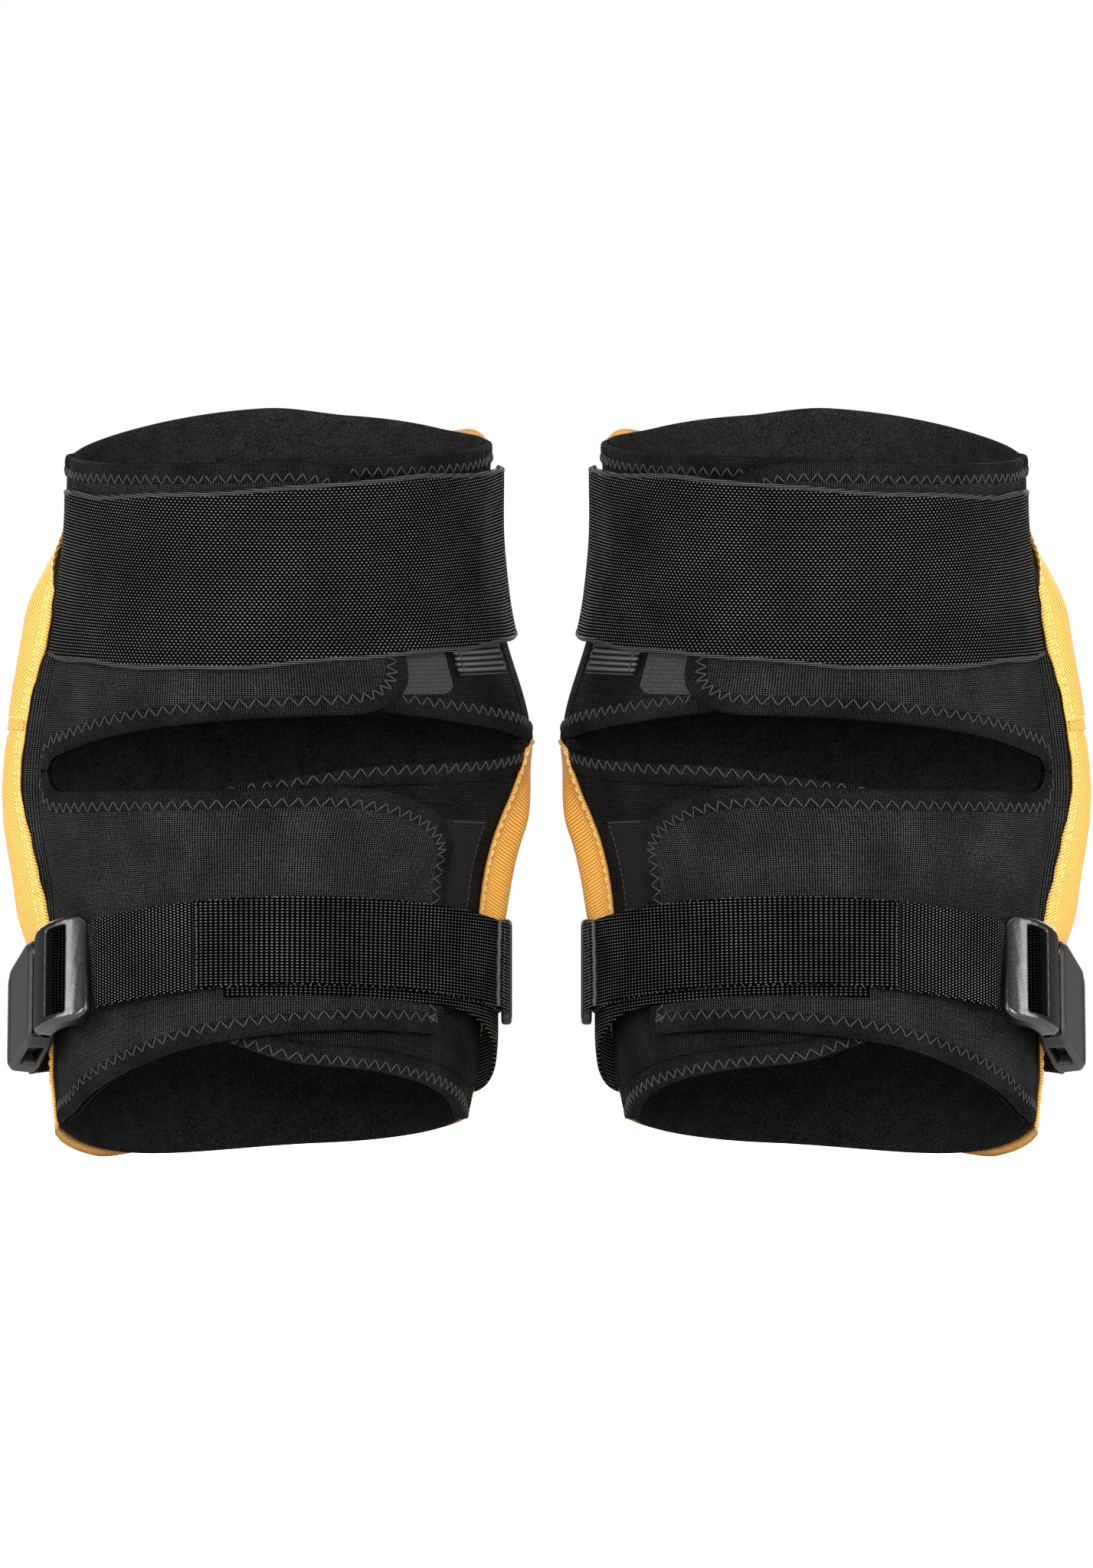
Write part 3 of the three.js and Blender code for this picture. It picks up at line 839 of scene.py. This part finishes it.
def thread(points, radius):
    """A short four-sided thread along a polyline."""
    along = np.gradient(points, axis=0)
    along /= np.linalg.norm(along, axis=1)[:, None] + 1e-9
    side_axis = np.cross(along, np.array([0.0, 0.0, 1.0]))
    side_axis /= np.linalg.norm(side_axis, axis=1)[:, None] + 1e-9
    up_axis = np.cross(side_axis, along)
    turns = (np.arange(4) * 2 * math.pi / 4)[None, :, None]
    sideways = radius * np.cos(turns) * side_axis[:, None, :]
    upwards = radius * np.sin(turns) * up_axis[:, None, :]
    return tube_arrays(points[:, None, :] + sideways + upwards)


def join_arrays(parts):
    points, faces, start = [], [], 0
    for part_points, part_faces in parts:
        points.append(part_points)
        faces += [tuple(i + start for i in face) for face in part_faces]
        start += len(part_points)
    return np.concatenate(points), faces


def zigzag(name, side, path, fabric_on_left, surface, **ride):
    """A zigzag seam: short threads from point to point, each diving into the cloth at its ends."""
    inset, pitch, reach = 5.7, 4.9, 1.95
    path = soften(resample(path, pitch / 2)[0])
    normals = inward_normals(path, fabric_on_left)
    swing = np.where(np.arange(len(path)) % 2 == 0, reach, -reach)
    knots = inset_path(path, normals, inset + swing)
    steps = np.linspace(0.04, 0.96, 5)[:, None]
    lift = 0.22 - 0.42 * np.abs(steps[:, 0] * 2 - 1) ** 4
    parts = []
    for a, b in zip(knots[:-1], knots[1:]):
        angle, t = (a + (b - a) * steps).T
        parts.append(thread(on_form(angle, t, surface(angle, t) + lift), 0.2))
    make_piece(name, side, *join_arrays(parts), "thread", **ride)


def stitch_row(path, place, length, gap, radius, height):
    """A straight row of stitches. place gives the point for an angle, a height and a lift off the cloth."""
    path, lengths = resample(path, 0.5)
    lift = height - 0.4 * np.abs(np.linspace(-1, 1, 5)) ** 4
    parts = []
    at = 0.3
    while at + length < lengths[-1]:
        steps = np.linspace(at, at + length, 5)
        angle, t = (np.interp(steps, lengths, path[:, k]) for k in (0, 1))
        parts.append(thread(place(angle, t, lift), radius))
        at += length + gap
    return join_arrays(parts)


def running_stitch(name, side, path, surface, length=3.0, gap=0.9, radius=0.22, **ride):
    surface = as_function(surface)

    def place(angle, t, lift):
        return on_form(angle, t, surface(angle, t) + lift)

    make_piece(name, side, *stitch_row(path, place, length, gap, radius, 0.15), "thread", **ride)


def trim_edge(names, side, path, fabric_on_left, inner, outer, **ride):
    """A binding over an edge and its zigzag seam, by those two names."""
    inner, outer = as_function(inner), as_function(outer)
    binding(names[0], side, path, fabric_on_left, inner, outer, **ride)
    zigzag(names[1], side, path, fabric_on_left, above(outer, BINDING), **ride)


# ---- The padded front: cloth blown out between its seams ----
COVER_ROWS = 96
COVER_COLUMNS = 124
COVER_UV_SCALE = 1.5  # millimetres of weave per degree
SEAM_T = 155.0  # the side darts at knee height
FRONT_SEAMS = (143.0, 217.0)  # upright seams beside the cap
CROSS_SEAMS = (57.0, 209.0)  # sewn channels below and above the cap
CAP_RING = (32.0, 64.5)  # half angle and half height of the stitching round the cap


def cover_low(s):
    """The hem shows below the liner only at the outer corner."""
    return front_bottom(s) + 1.4 - 3.4 * smooth(s, 214, 236)


def cover_high(s):
    return rim_top(s) - 3.0 + 3.9 * bump(s, 117, 12)


def cover_left_edge(t):
    fray = 0.22 * np.sin(2.3 * t) + 0.12 * np.sin(0.57 * t + 1)
    return COVER_LEFT - 2.0 * bump(t, 152, 28) + 1.4 * bump(t, 84, 24) - 11 * smooth(t, 208, 228) + fray


def cover_right_edge(t):
    fray = 0.22 * np.sin(2.1 * t) + 0.12 * np.sin(0.63 * t + 2)
    return 79 + 25 * smooth(t, 146, 154) + 24 * (1 - smooth(t, 42, 66)) + fray


def side_edges(share):
    """The cover's side edges, at a share of the way up."""
    t = 15.0 + 240.0 * share
    return cover_left_edge(t), cover_right_edge(t)


def cover_grid():
    across = np.linspace(0.0, 1.0, COVER_COLUMNS)[:, None]
    share = np.linspace(0.0, 1.0, COVER_ROWS)[None, :]
    left, right = side_edges(share)
    angles = left + (right - left) * across
    heights = cover_low(angles) + (cover_high(angles) - cover_low(angles)) * share
    return angles, heights


def between_front_seams(s):
    left, right = FRONT_SEAMS
    return smooth(s, left - 1, left + 1) * (1 - smooth(s, right - 1, right + 1))


def seam_groove(s, t):
    """How far the stitched seams pull the cover in."""
    from_left = cover_left_edge(t) - s
    from_right = s - cover_right_edge(t)
    nearest = np.minimum(from_left, from_right)
    side_reach = smooth(nearest, 3, 8) * (1 - smooth(nearest, 26, 34))
    lap = 0.5 * smooth(SEAM_T - t, 0, 1.5) * smooth(t, 120, 150) * side_reach
    dart = 1.4 * bump(t, SEAM_T, 2.0) * side_reach + lap
    hem = 0.35 * bump(from_left, 3.4, 1.0) + 0.35 * bump(from_right, 3.4, 1.0)
    upright_seams = sum(2.0 * bump(s, seam, 1.9) for seam in FRONT_SEAMS)
    cross_seams = sum(2.0 * bump(t, seam, 2.6) for seam in CROSS_SEAMS) * between_front_seams(s)
    return dart + hem + np.maximum(upright_seams, cross_seams)


def cover_surface_out(s, t):
    """The cover's outer face: stitched down on the side panels, and free over the padding."""
    on_left = FLAP + side_lift(np.minimum(s, 360.0) - 360, t) + FABRIC + HUG
    on_right = NEOPRENE + side_lift(np.minimum(s, RIGHT_SEAM), t) + FABRIC + HUG
    free = np.where(s < COVER_MEETS, on_right, cover_out(s, t))
    out = np.where(s > 360 + LEFT_SEAM, on_left, free)
    crinkle = 0.16 * np.sin(0.55 * t + 0.6 * s) * bump(COVER_LEFT - s, 9, 5)
    crinkle = crinkle + 0.12 * np.sin(0.8 * t) * bump(s - COVER_RIGHT, 7, 5)
    return out - seam_groove(s, t) + crinkle


def simulate_cloth(points, faces, pinned, pressure, frames, cap):
    """Blows a pinned sheet out with Blender's cloth and returns its points, moved no more than cap."""
    mesh = bpy.data.meshes.new("cloth_work")
    mesh.from_pydata([tuple(p / 1000.0) for p in points], [], faces)
    work = bpy.data.objects.new("cloth_work", mesh)
    bpy.context.scene.collection.objects.link(work)
    group = work.vertex_groups.new(name="pin")
    group.add([int(i) for i in np.nonzero(pinned)[0]], 1.0, "REPLACE")
    cloth = work.modifiers.new("cloth", "CLOTH")
    settings = cloth.settings
    settings.quality = 5
    settings.mass = 0.25
    settings.tension_stiffness = 40
    settings.compression_stiffness = 20
    settings.shear_stiffness = 10
    settings.bending_stiffness = 0.8
    settings.use_pressure = True
    settings.uniform_pressure_force = pressure
    settings.vertex_group_mass = "pin"
    settings.effector_weights.gravity = 0.0
    cloth.collision_settings.use_collision = False
    scene = bpy.context.scene
    cloth.point_cache.frame_start = 1
    cloth.point_cache.frame_end = frames
    for number in range(1, frames + 1):
        scene.frame_set(number)
    evaluated = work.evaluated_get(bpy.context.evaluated_depsgraph_get())
    result = np.zeros(len(evaluated.data.vertices) * 3)
    evaluated.data.vertices.foreach_get("co", result)
    result = result.reshape(-1, 3) * 1000.0
    scene.frame_set(1)
    bpy.data.objects.remove(work)
    moved = result - points
    size = np.linalg.norm(moved, axis=1)
    scale = np.where(size > cap, cap / np.maximum(size, 1e-9), 1.0)
    return points + moved * scale[:, None]


def cover_points():
    """The left cover as a grid: angles, heights and outer points, with the puff that the cloth run gives."""
    angles, heights = cover_grid()
    points = on_form(angles, heights, cover_surface_out(angles, heights))
    to_side = np.minimum(cover_left_edge(heights) - angles, angles - cover_right_edge(heights))
    to_hem = np.minimum(heights - cover_low(angles), cover_high(angles) - heights)
    edge = np.minimum(to_side * MM_PER_DEGREE, to_hem) < 4.2
    dart = (np.abs(heights - SEAM_T) < 1.3) & (to_side < 30)
    upright_seam = np.min([np.abs(angles - seam) for seam in FRONT_SEAMS], axis=0) < 0.9
    cross_seam = np.min([np.abs(heights - seam) for seam in CROSS_SEAMS], axis=0) < 1.3
    pinned = edge | dart | upright_seam | (cross_seam & (between_front_seams(angles) > 0.5))
    faces = grid_faces(COVER_COLUMNS, COVER_ROWS)
    blown = simulate_cloth(points.reshape(-1, 3), faces, pinned.ravel(), pressure=1.2, frames=14, cap=2.0)
    return angles, heights, blown.reshape(points.shape)


def grid_normals(points):
    """Unit normals of a grid of points, turned to face away from the leg."""
    normal = np.cross(np.gradient(points, axis=0), np.gradient(points, axis=1))
    normal = normal / (np.linalg.norm(normal, axis=-1)[..., None] + 1e-9)
    return -normal if float(np.mean(normal[COVER_COLUMNS // 2, :, 1])) < 0 else normal


COVER_ANGLES, COVER_HEIGHTS, COVER_POINTS = cover_points()
COVER_NORMALS = grid_normals(COVER_POINTS)


def on_cover(angle, t, off):
    """A point on the blown cover, off from its surface."""
    share = np.clip((t - cover_low(angle)) / (cover_high(angle) - cover_low(angle)), 0, 1)
    left, right = side_edges(share)
    row = share * (COVER_ROWS - 1)
    column = np.clip((left - angle) / (left - right), 0, 1) * (COVER_COLUMNS - 1)
    i = np.clip(column.astype(int), 0, COVER_COLUMNS - 2)
    j = np.clip(row.astype(int), 0, COVER_ROWS - 2)
    f, g = (column - i)[..., None], (row - j)[..., None]

    def sample(grid):
        near = grid[i, j] * (1 - f) * (1 - g) + grid[i + 1, j] * f * (1 - g)
        return near + grid[i, j + 1] * (1 - f) * g + grid[i + 1, j + 1] * f * g

    return sample(COVER_POINTS) + np.asarray(off)[..., None] * sample(COVER_NORMALS)


def cover_stitch(name, side, path):
    make_piece(name, side, *stitch_row(path, on_cover, 2.6, 0.8, 0.28, 0.12), "thread_cover", slot="cover")


def dart_fold(name, side, start, end):
    """The lower edge of the upper side panel, lapped over the lower one."""
    angles = np.linspace(start, end, 26)[:, None]
    across = np.linspace(0.0, 1.0, 7)[None, :]
    fade = smooth(np.abs(angles - end), 0, 8)
    heights = SEAM_T + 0.25 * np.sin(angles * 1.7) + (across - 0.35) * 3.4
    lift = (0.95 * (1 - across**2) * np.sqrt(np.clip(across * 9, 0, 1)) + 0.02) * fade
    wide = np.broadcast_to(angles, heights.shape)
    top, low = on_cover(wide, heights, lift), on_cover(wide, heights, 0.0 * lift - 0.5)
    uv = np.stack([wide * COVER_UV_SCALE, heights], axis=-1)
    points, faces, uv = two_skins(top, low, uv, end > start)
    make_piece(name, side, points, faces, "cover", uv, slot="cover")


def build_front_stitches(side):
    """Twin rows beside the sewn channels, and one row round the cap."""
    left, right = FRONT_SEAMS
    for k, seam in enumerate(FRONT_SEAMS):
        low, high = float(cover_low(seam)) + 7, float(cover_high(seam)) - 7
        for row, shift in enumerate((-2.0, 2.0)):
            cover_stitch(f"front_seam_stitch_{k + 1}_{row + 1}", side, upright(seam + shift, low, high, 120))
    for k, seam in enumerate(CROSS_SEAMS):
        for row, shift in enumerate((-2.6, 2.6)):
            path = level(seam + shift, left + 3, right - 3, 120)
            cover_stitch(f"channel_stitch_{k + 1}_{row + 1}", side, path)
    turn = np.linspace(0, 2 * math.pi, 240)
    across = 180 + CAP_RING[0] * np.sign(np.cos(turn)) * np.abs(np.cos(turn)) ** 0.45
    up = CAP_MIDDLE_T + CAP_RING[1] * np.sign(np.sin(turn)) * np.abs(np.sin(turn)) ** 0.45
    cover_stitch("cap_stitch", side, np.stack([across, up], axis=-1))


def build_cover(side):
    inner = COVER_POINTS - COVER_NORMALS * FABRIC
    uv = np.stack([COVER_ANGLES * COVER_UV_SCALE, COVER_HEIGHTS], axis=-1)
    points, faces, uv = two_skins(COVER_POINTS, inner, uv, False)
    make_piece("front_cover", side, points, faces, "cover", uv, slot="cover")
    heights = np.linspace(20, 246, 160)
    for k, inset in enumerate((2.0, 4.6)):
        turned_in = inset / MM_PER_DEGREE
        paths = {
            "outer": np.stack([cover_left_edge(heights) - turned_in, heights], axis=-1),
            "inner": np.stack([cover_right_edge(heights) + turned_in, heights], axis=-1),
            "low": line(lambda s: cover_low(s) + 1.5 + inset, 268, 94, 160),
            "high": line(lambda s: cover_high(s) - 1.5 - inset, 268, 106, 160),
        }
        for edge, path in paths.items():
            cover_stitch(f"cover_stitch_{edge}_{k + 1}", side, path)
    build_front_stitches(side)
    dart_fold("dart_fold_outer", side, COVER_LEFT - 2.3, COVER_LEFT - 32)
    dart_fold("dart_fold_inner", side, COVER_RIGHT + 10.6, COVER_RIGHT + 34)
    cover_stitch("dart_stitch_outer", side, level(SEAM_T + 3.4, COVER_LEFT - 5, COVER_LEFT - 28, 30))
    cover_stitch("dart_stitch_inner", side, level(SEAM_T + 3.4, COVER_RIGHT + 14, COVER_RIGHT + 32, 30))


# ---- The dark sleeve ----
def sleeve_ripple(s, t):
    return 0.35 * np.sin(0.11 * t + 0.05 * s) * np.sin(0.07 * s + 1.3)


def build_sleeve(side):
    sheet(
        "liner", side, "neoprene", RIGHT_SEAM - 0.6, 360 + LEFT_SEAM + 0.6, front_bottom, rim_top, liner_in,
        above(liner_in, NEOPRENE), step=2.4, extra=sleeve_ripple,
    )
    panels = (
        ("lateral_panel", "neoprene", LEFT_SEAM, OUTER_HINGE, calf_outer_bottom, rim_top),
        ("medial_panel", "panel", INNER_HINGE, RIGHT_SEAM, calf_inner_bottom, calf_inner_top),
        ("medial_panel_thigh", "panel", INNER_HINGE, RIGHT_SEAM, thigh_inner_bottom, rim_top),
        ("medial_panel_bridge", "panel", RIGHT_SEAM - 4, RIGHT_SEAM, 128, 158),
    )
    for name, material, *outline in panels:
        sheet(name, side, material, *outline, side_lift, panel_out, step=1.6)
    edges = {
        "rim_binding_outer": line(rim_top, OUTER_HINGE + 0.2, LEFT_SEAM, 12),
        "rim_binding_inner": line(rim_top, RIGHT_SEAM, INNER_HINGE + 0.2, 16),
        "gap_binding_inner": line(thigh_inner_bottom, INNER_HINGE + 0.3, RIGHT_SEAM, 16),
    }
    for name, path in edges.items():
        trim_edge((name, f"{name}_stitch"), side, path, True, side_lift, panel_out)


def build_calf_flaps(side):
    sheet(
        "calf_flap_inner", side, "panel", CALF_INNER_END, INNER_HINGE - 0.1,
        calf_inner_bottom, calf_inner_top, 0.0, NEOPRENE, step=2.5,
    )
    sheet(
        "calf_flap_outer", side, "neoprene", OUTER_HINGE + 0.2, CALF_FLAP_END,
        calf_outer_bottom, calf_outer_top, calf_lift, calf_flap_face,
    )
    path = np.concatenate([
        line(calf_outer_bottom, -89, CALF_FLAP_END, 100),
        upright(CALF_FLAP_END, 41, 104)[1:-1],
        line(calf_outer_top, CALF_FLAP_END, -76.0, 200),
    ])
    trim_edge(("calf_binding_outer", "calf_zigzag_outer"), side, path, True, calf_lift, calf_flap_face)
    gap_end = np.array([[86.6, 150.2], [88.0, 147.0], [87.8, 143.6], [86.2, 141.2]])
    path = np.concatenate([
        line(thigh_inner_bottom, 79.8, 84.5, 8),
        gap_end,
        line(calf_inner_top, 83.5, CALF_INNER_END, 90),
        upright(CALF_INNER_END, 128, 36)[1:-1],
        line(calf_inner_bottom, CALF_INNER_END, 91.5, 90),
    ])
    trim_edge(("calf_binding_inner", "calf_zigzag_inner"), side, path, False, side_lift, panel_out)


def build_thigh_flaps(side):
    ride = {"body": "thigh_flap", "bend": ("pad", (THIGH_BACK, 195, 1.6), (-58, 195, 1.6))}
    sheet(
        "thigh_flap_outer", side, "neoprene", THIGH_BACK, THIGH_FLAP_END,
        thigh_outer_bottom, thigh_outer_top, thigh_lift, thigh_flap_face, **ride,
    )
    path = np.concatenate([
        line(thigh_outer_bottom, -76.2, THIGH_FLAP_END, 200),
        upright(THIGH_FLAP_END, 176, 232)[1:-1],
        line(thigh_outer_top, THIGH_FLAP_END, THIGH_BACK - 0.5, 100),
    ])
    names = ("thigh_binding_outer", "thigh_zigzag_outer")
    trim_edge(names, side, path, True, thigh_lift, thigh_flap_face, **ride)

    ride = {"body": "thigh_inner_flap", "bend": ("pad", (INNER_HINGE - 0.5, 195, 1.6), (56, 195, 1.6))}
    sheet(
        "thigh_flap_inner", side, "panel", THIGH_INNER_END, INNER_HINGE - 0.1,
        thigh_inner_bottom, rim_top, 0.0, NEOPRENE, **ride,
    )
    path = np.concatenate([
        line(thigh_inner_bottom, INNER_HINGE, THIGH_INNER_END, 90),
        upright(THIGH_INNER_END, 172, 252)[1:-1],
        line(rim_top, THIGH_INNER_END, INNER_HINGE, 90),
    ])
    names = ("thigh_binding_inner", "thigh_zigzag_inner")
    trim_edge(names, side, path, False, 0.0, NEOPRENE, **ride)


def build_thigh_fastening(side):
    """The hook tape under the outer flap, and the ribbed strip on the inner one."""
    sheet(
        "thigh_hook_tab", side, "hook", 24, 46, lambda s: 168 + 2.5 * smooth(s, 43, 46), 208,
        NEOPRENE + 0.5, NEOPRENE + 1.5, edge=0.8, slot="hook", body="thigh_flap",
    )
    ride = {"slot": "elastic", "body": "thigh_inner_flap"}
    face = NEOPRENE + GAP + ELASTIC
    sheet(
        "thigh_strap_anchor", side, "anchor", 49, 72, 174.8, 240, NEOPRENE + GAP, face,
        extra=lambda s, t: 0.35 * np.sin(t * 2 * math.pi / 6.0), **ride,
    )
    for k, angle in enumerate((50.4, 70.6)):
        running_stitch(f"anchor_stitch_{k + 1}", side, upright(angle, 176, 200), face + 0.3, **ride)


def strap_waves(s, t):
    return 0.3 * np.sin(0.16 * s + 0.05 * t) + 0.2 * np.sin(0.31 * s - 0.08 * t)


def build_thigh_strap(side):
    bend = ("thigh_flap", (THIGH_BACK, 214, 5), (-60, 214, 5))
    ride = {"slot": "elastic", "body": "thigh_strap", "bend": bend}
    sheet(
        "thigh_strap", side, "elastic", THIGH_BACK, THIGH_STRAP_END, thigh_strap_bottom, thigh_strap_top,
        thigh_strap_lift, thigh_strap_face, extra=strap_waves, **ride,
    )
    selvedges = (("lower", thigh_strap_bottom, -0.2, 1.9), ("upper", thigh_strap_top, -1.9, 0.2))
    for name, edge, below, over in selvedges:
        sheet(
            f"strap_selvedge_{name}", side, "selvedge", THIGH_BACK, THIGH_STRAP_END, above(edge, below),
            above(edge, over), above(thigh_strap_lift, -0.15), above(thigh_strap_face, 0.35),
            extra=strap_waves, up_step=0.8, **ride,
        )


def build_calf_strap(side):
    ride = {"slot": "webbing", "body": "calf_strap", "bend": ("pad", (78, 62, 10), (5, 70, 10))}
    sheet(
        "calf_strap", side, "webbing", -62, 80, calf_strap_bottom, calf_strap_top,
        lambda s, t: calf_strap_lift(s, t) - calf_strap_dive(s),
        lambda s, t: calf_strap_face(s, t) - calf_strap_dive(s), **ride,
    )
    crimped = {"step": 0.5, "up_step": 1.5, "extra": lambda s, t: 0.12 * np.sin(3.1 * t)}
    layers = (
        # name, material, start, end, in from the strap's edges, its two faces over the strap's, mesh
        ("folded_layer", "webbing_loop", -17, 78, 0.4, -0.1, 1.0, {}),
        ("end_tab", "webbing_loop", 72, 82, 0.2, 0.9, 2.1, {}),
        ("fold", "thread", 71.6, 72.6, 0.4, 0.9, 2.3, crimped),
    )
    for name, material, start, end, inset, low, high, mesh in layers:
        sheet(
            f"calf_strap_{name}", side, material, start, end, above(calf_strap_bottom, inset),
            above(calf_strap_top, -inset), above(calf_strap_face, low), above(calf_strap_face, high),
            **mesh, **ride,
        )
    for k, (angle, height) in enumerate(((-16.0, 1.1), (75.0, 2.2))):
        low, high = float(calf_strap_bottom(angle)) + 1.5, float(calf_strap_top(angle)) - 1.5
        path = upright(angle, low, high, 20)
        face = above(calf_strap_face, height)
        running_stitch(f"calf_strap_stitch_{k + 1}", side, path, face, 1.9, 0.7, 0.2, **ride)
    sheet(
        "calf_strap_return", side, "webbing_loop", -10, 118, lambda s: return_middle(s) - webbing_half(s),
        lambda s: return_middle(s) + webbing_half(s), return_lift, above(return_lift, 1.3), slot="webbing",
    )


def build_strap_turn(side):
    """The webbing that comes up through the slot of the buckle, coloured near-black as painted shade from the
    frame.
    """
    along = np.linspace(-SLOT_END + 0.1, -SLOT_START - 0.1, 10)[:, None]
    up = np.linspace(-16.3, 16.3, 14)[None, :]
    sag = 1.2 * ((along + (SLOT_END + SLOT_START) / 2) / 4) ** 2
    uv = np.stack(np.broadcast_arrays(along, up), axis=-1)
    top, low = on_buckle(along, 1.6 - sag, up), on_buckle(along, 0.2 - sag, up)
    points, faces, uv = two_skins(top, low, uv, False)
    make_piece("calf_strap_turn", side, points, faces, "webbing_shade", uv, slot="webbing", body="calf_strap")


def build_small_parts(side):
    low, face = NEOPRENE + 0.5, NEOPRENE + 1.5
    sheet("calf_hook_tab", side, "hook_dark", 45, 67, 84, 121, low, face, edge=0.8, slot="hook")
    outline = np.concatenate([upright(66.2, 84.6, 119.6, 40), level(120.2, 65.6, 50, 30)])
    running_stitch("calf_tab_stitch", side, outline, face, 1.6, 0.6, 0.2, slot="hook")
    sheet(
        "buckle_tether", side, "webbing", 222, 261.5, above(tether_middle, -16), above(tether_middle, 16),
        tether_lift, above(tether_lift, WEBBING), slot="webbing",
    )


MOULDED = {
    # node: body, material, slot, voxel in mm
    "knee_cap": ("pad", "cap", "cap", 1.1),
    "strap_ring": ("pad", "plastic_matte", "plastic", 0.45),
    "buckle_female": ("pad", "plastic_matte", "plastic", 0.5),
    "buckle_male": ("calf_strap", "plastic", "plastic", 0.45),
    "buckle_prong_upper": ("prong_upper", "plastic", "plastic", 0.4),
    "buckle_prong_lower": ("prong_lower", "plastic", "plastic", 0.4),
}


def build_moulded(side):
    """Moulded parts take their CAD shapes, with edges rounded off by a fine remesh."""
    for node, (body, material, slot, voxel) in MOULDED.items():
        mesh = NODES[f"{side}_{node}"].data.copy()
        mesh.name = f"{side}_{node}_moulded"
        mesh.materials.clear()
        mesh.materials.append(MATERIALS[material])
        piece = bpy.data.objects.new(f"{side}_{node}_moulded", mesh)
        bpy.context.scene.collection.objects.link(piece)
        remesh = piece.modifiers.new("remesh", "REMESH")
        remesh.mode = "VOXEL"
        remesh.voxel_size = voxel / 1000.0
        remesh.use_smooth_shade = True
        ease = piece.modifiers.new("ease", "SMOOTH")
        ease.factor = 0.6
        ease.iterations = 5
        evaluated = piece.evaluated_get(bpy.context.evaluated_depsgraph_get())
        rounded = bpy.data.meshes.new_from_object(evaluated)
        piece.modifiers.clear()
        piece.data = rounded
        settle(piece, side, node, slot, body)


def finish_cad_nodes(side):
    """The foam and the gel, inside the padding, keep their CAD shapes."""
    for node, material in {"foam_core": "foam", "gel_pad": "gel"}.items():
        slots = NODES[f"{side}_{node}"].data.materials
        slots.clear()
        slots.append(MATERIALS[material])


for pad_side in SIDES:
    build_cover(pad_side)
    build_sleeve(pad_side)
    build_calf_flaps(pad_side)
    build_thigh_flaps(pad_side)
    build_thigh_fastening(pad_side)
    build_thigh_strap(pad_side)
    build_calf_strap(pad_side)
    build_strap_turn(pad_side)
    build_small_parts(pad_side)
    build_moulded(pad_side)
    finish_cad_nodes(pad_side)


# ---- Stage, light and camera ----
PICTURE_ASPECT = 1427 / 2048
VIEW_WIDTH = 0.3853  # metres across the picture at the pads
LENS_MM = 400.0
SENSOR_MM = 36.0
AMBIENT = 0.17  # light from the white surroundings, which the camera sees as plain white
FLOOR_HALF_SIZE = 40.0
PADS_MIDDLE = (0, 0, 0.13)


def build_floor():
    mesh = bpy.data.meshes.new("floor")
    size = FLOOR_HALF_SIZE
    corners = [(-size, -size, 0), (size, -size, 0), (size, size, 0), (-size, size, 0)]
    mesh.from_pydata(corners, [], [(0, 1, 2, 3)])
    floor = bpy.data.objects.new("floor", mesh)
    n = Nodes("floor_pale")
    shade = n.mix(n.noise(3.0), (0.88, 0.88, 0.88, 1), (0.9, 0.9, 0.9, 1))
    material = n.finish(shade, 0.9, specular=0.1)
    seen = n.node("ShaderNodeLightPath").outputs["Is Camera Ray"]
    n.bsdf.inputs["Emission Color"].default_value = (1, 1, 1, 1)
    n.set(n.bsdf.inputs["Emission Strength"], n.times(seen, 1.0 - 0.9 * AMBIENT))
    mesh.materials.append(material)
    bpy.context.scene.collection.objects.link(floor)


def build_surroundings():
    world = bpy.data.worlds.new("studio")
    world.use_nodes = True
    tree = world.node_tree
    background = tree.nodes["Background"]
    background.inputs[0].default_value = (1, 1, 1, 1)
    path = tree.nodes.new("ShaderNodeLightPath")
    strength = tree.nodes.new("ShaderNodeMapRange")
    strength.inputs[3].default_value = AMBIENT
    strength.inputs[4].default_value = 1.0
    tree.links.new(path.outputs["Is Camera Ray"], strength.inputs[0])
    tree.links.new(strength.outputs[0], background.inputs[1])
    bpy.context.scene.world = world


def area_light(name, place, target, size, power):
    data = bpy.data.lights.new(name, "AREA")
    data.shape = "RECTANGLE"
    data.size, data.size_y = size
    data.energy = power
    light = bpy.data.objects.new(name, data)
    light.location = place
    light.visible_camera = False
    light.rotation_euler = (Vector(target) - Vector(place)).to_track_quat("-Z", "Y").to_euler()
    bpy.context.scene.collection.objects.link(light)


def build_camera():
    low, high = (Vector(v) for v in cad_bounds)
    target = (low + high) / 2 + Vector((0, -0.02, -0.0005))
    distance = VIEW_WIDTH * LENS_MM / (SENSOR_MM * PICTURE_ASPECT)
    data = bpy.data.cameras.new("camera")
    data.lens = LENS_MM
    data.sensor_fit = "VERTICAL"
    data.sensor_height = SENSOR_MM
    camera = bpy.data.objects.new("camera", data)
    camera.location = target + Vector((0, -distance, 0))
    camera.rotation_euler = (math.pi / 2, 0, 0)
    bpy.context.scene.collection.objects.link(camera)
    bpy.context.scene.camera = camera


build_floor()
build_surroundings()
for sign in (-1, 1):
    area_light(f"softbox_{sign + 2}", (sign * 0.86, -0.54, 0.42), (sign * 0.1, 0, 0.13), (0.4, 0.7), 10)
    area_light(f"kneeling_side_{sign + 2}", (sign * 0.5, 1.4, 0.6), PADS_MIDDLE, (0.6, 0.6), 9)
area_light("front", (0, -1.75, 0.42), PADS_MIDDLE, (0.6, 0.5), 29)
area_light("top", (0, -0.25, 1.2), PADS_MIDDLE, (1.0, 0.6), 4)
build_camera()
bpy.context.scene.view_settings.view_transform = "Standard"
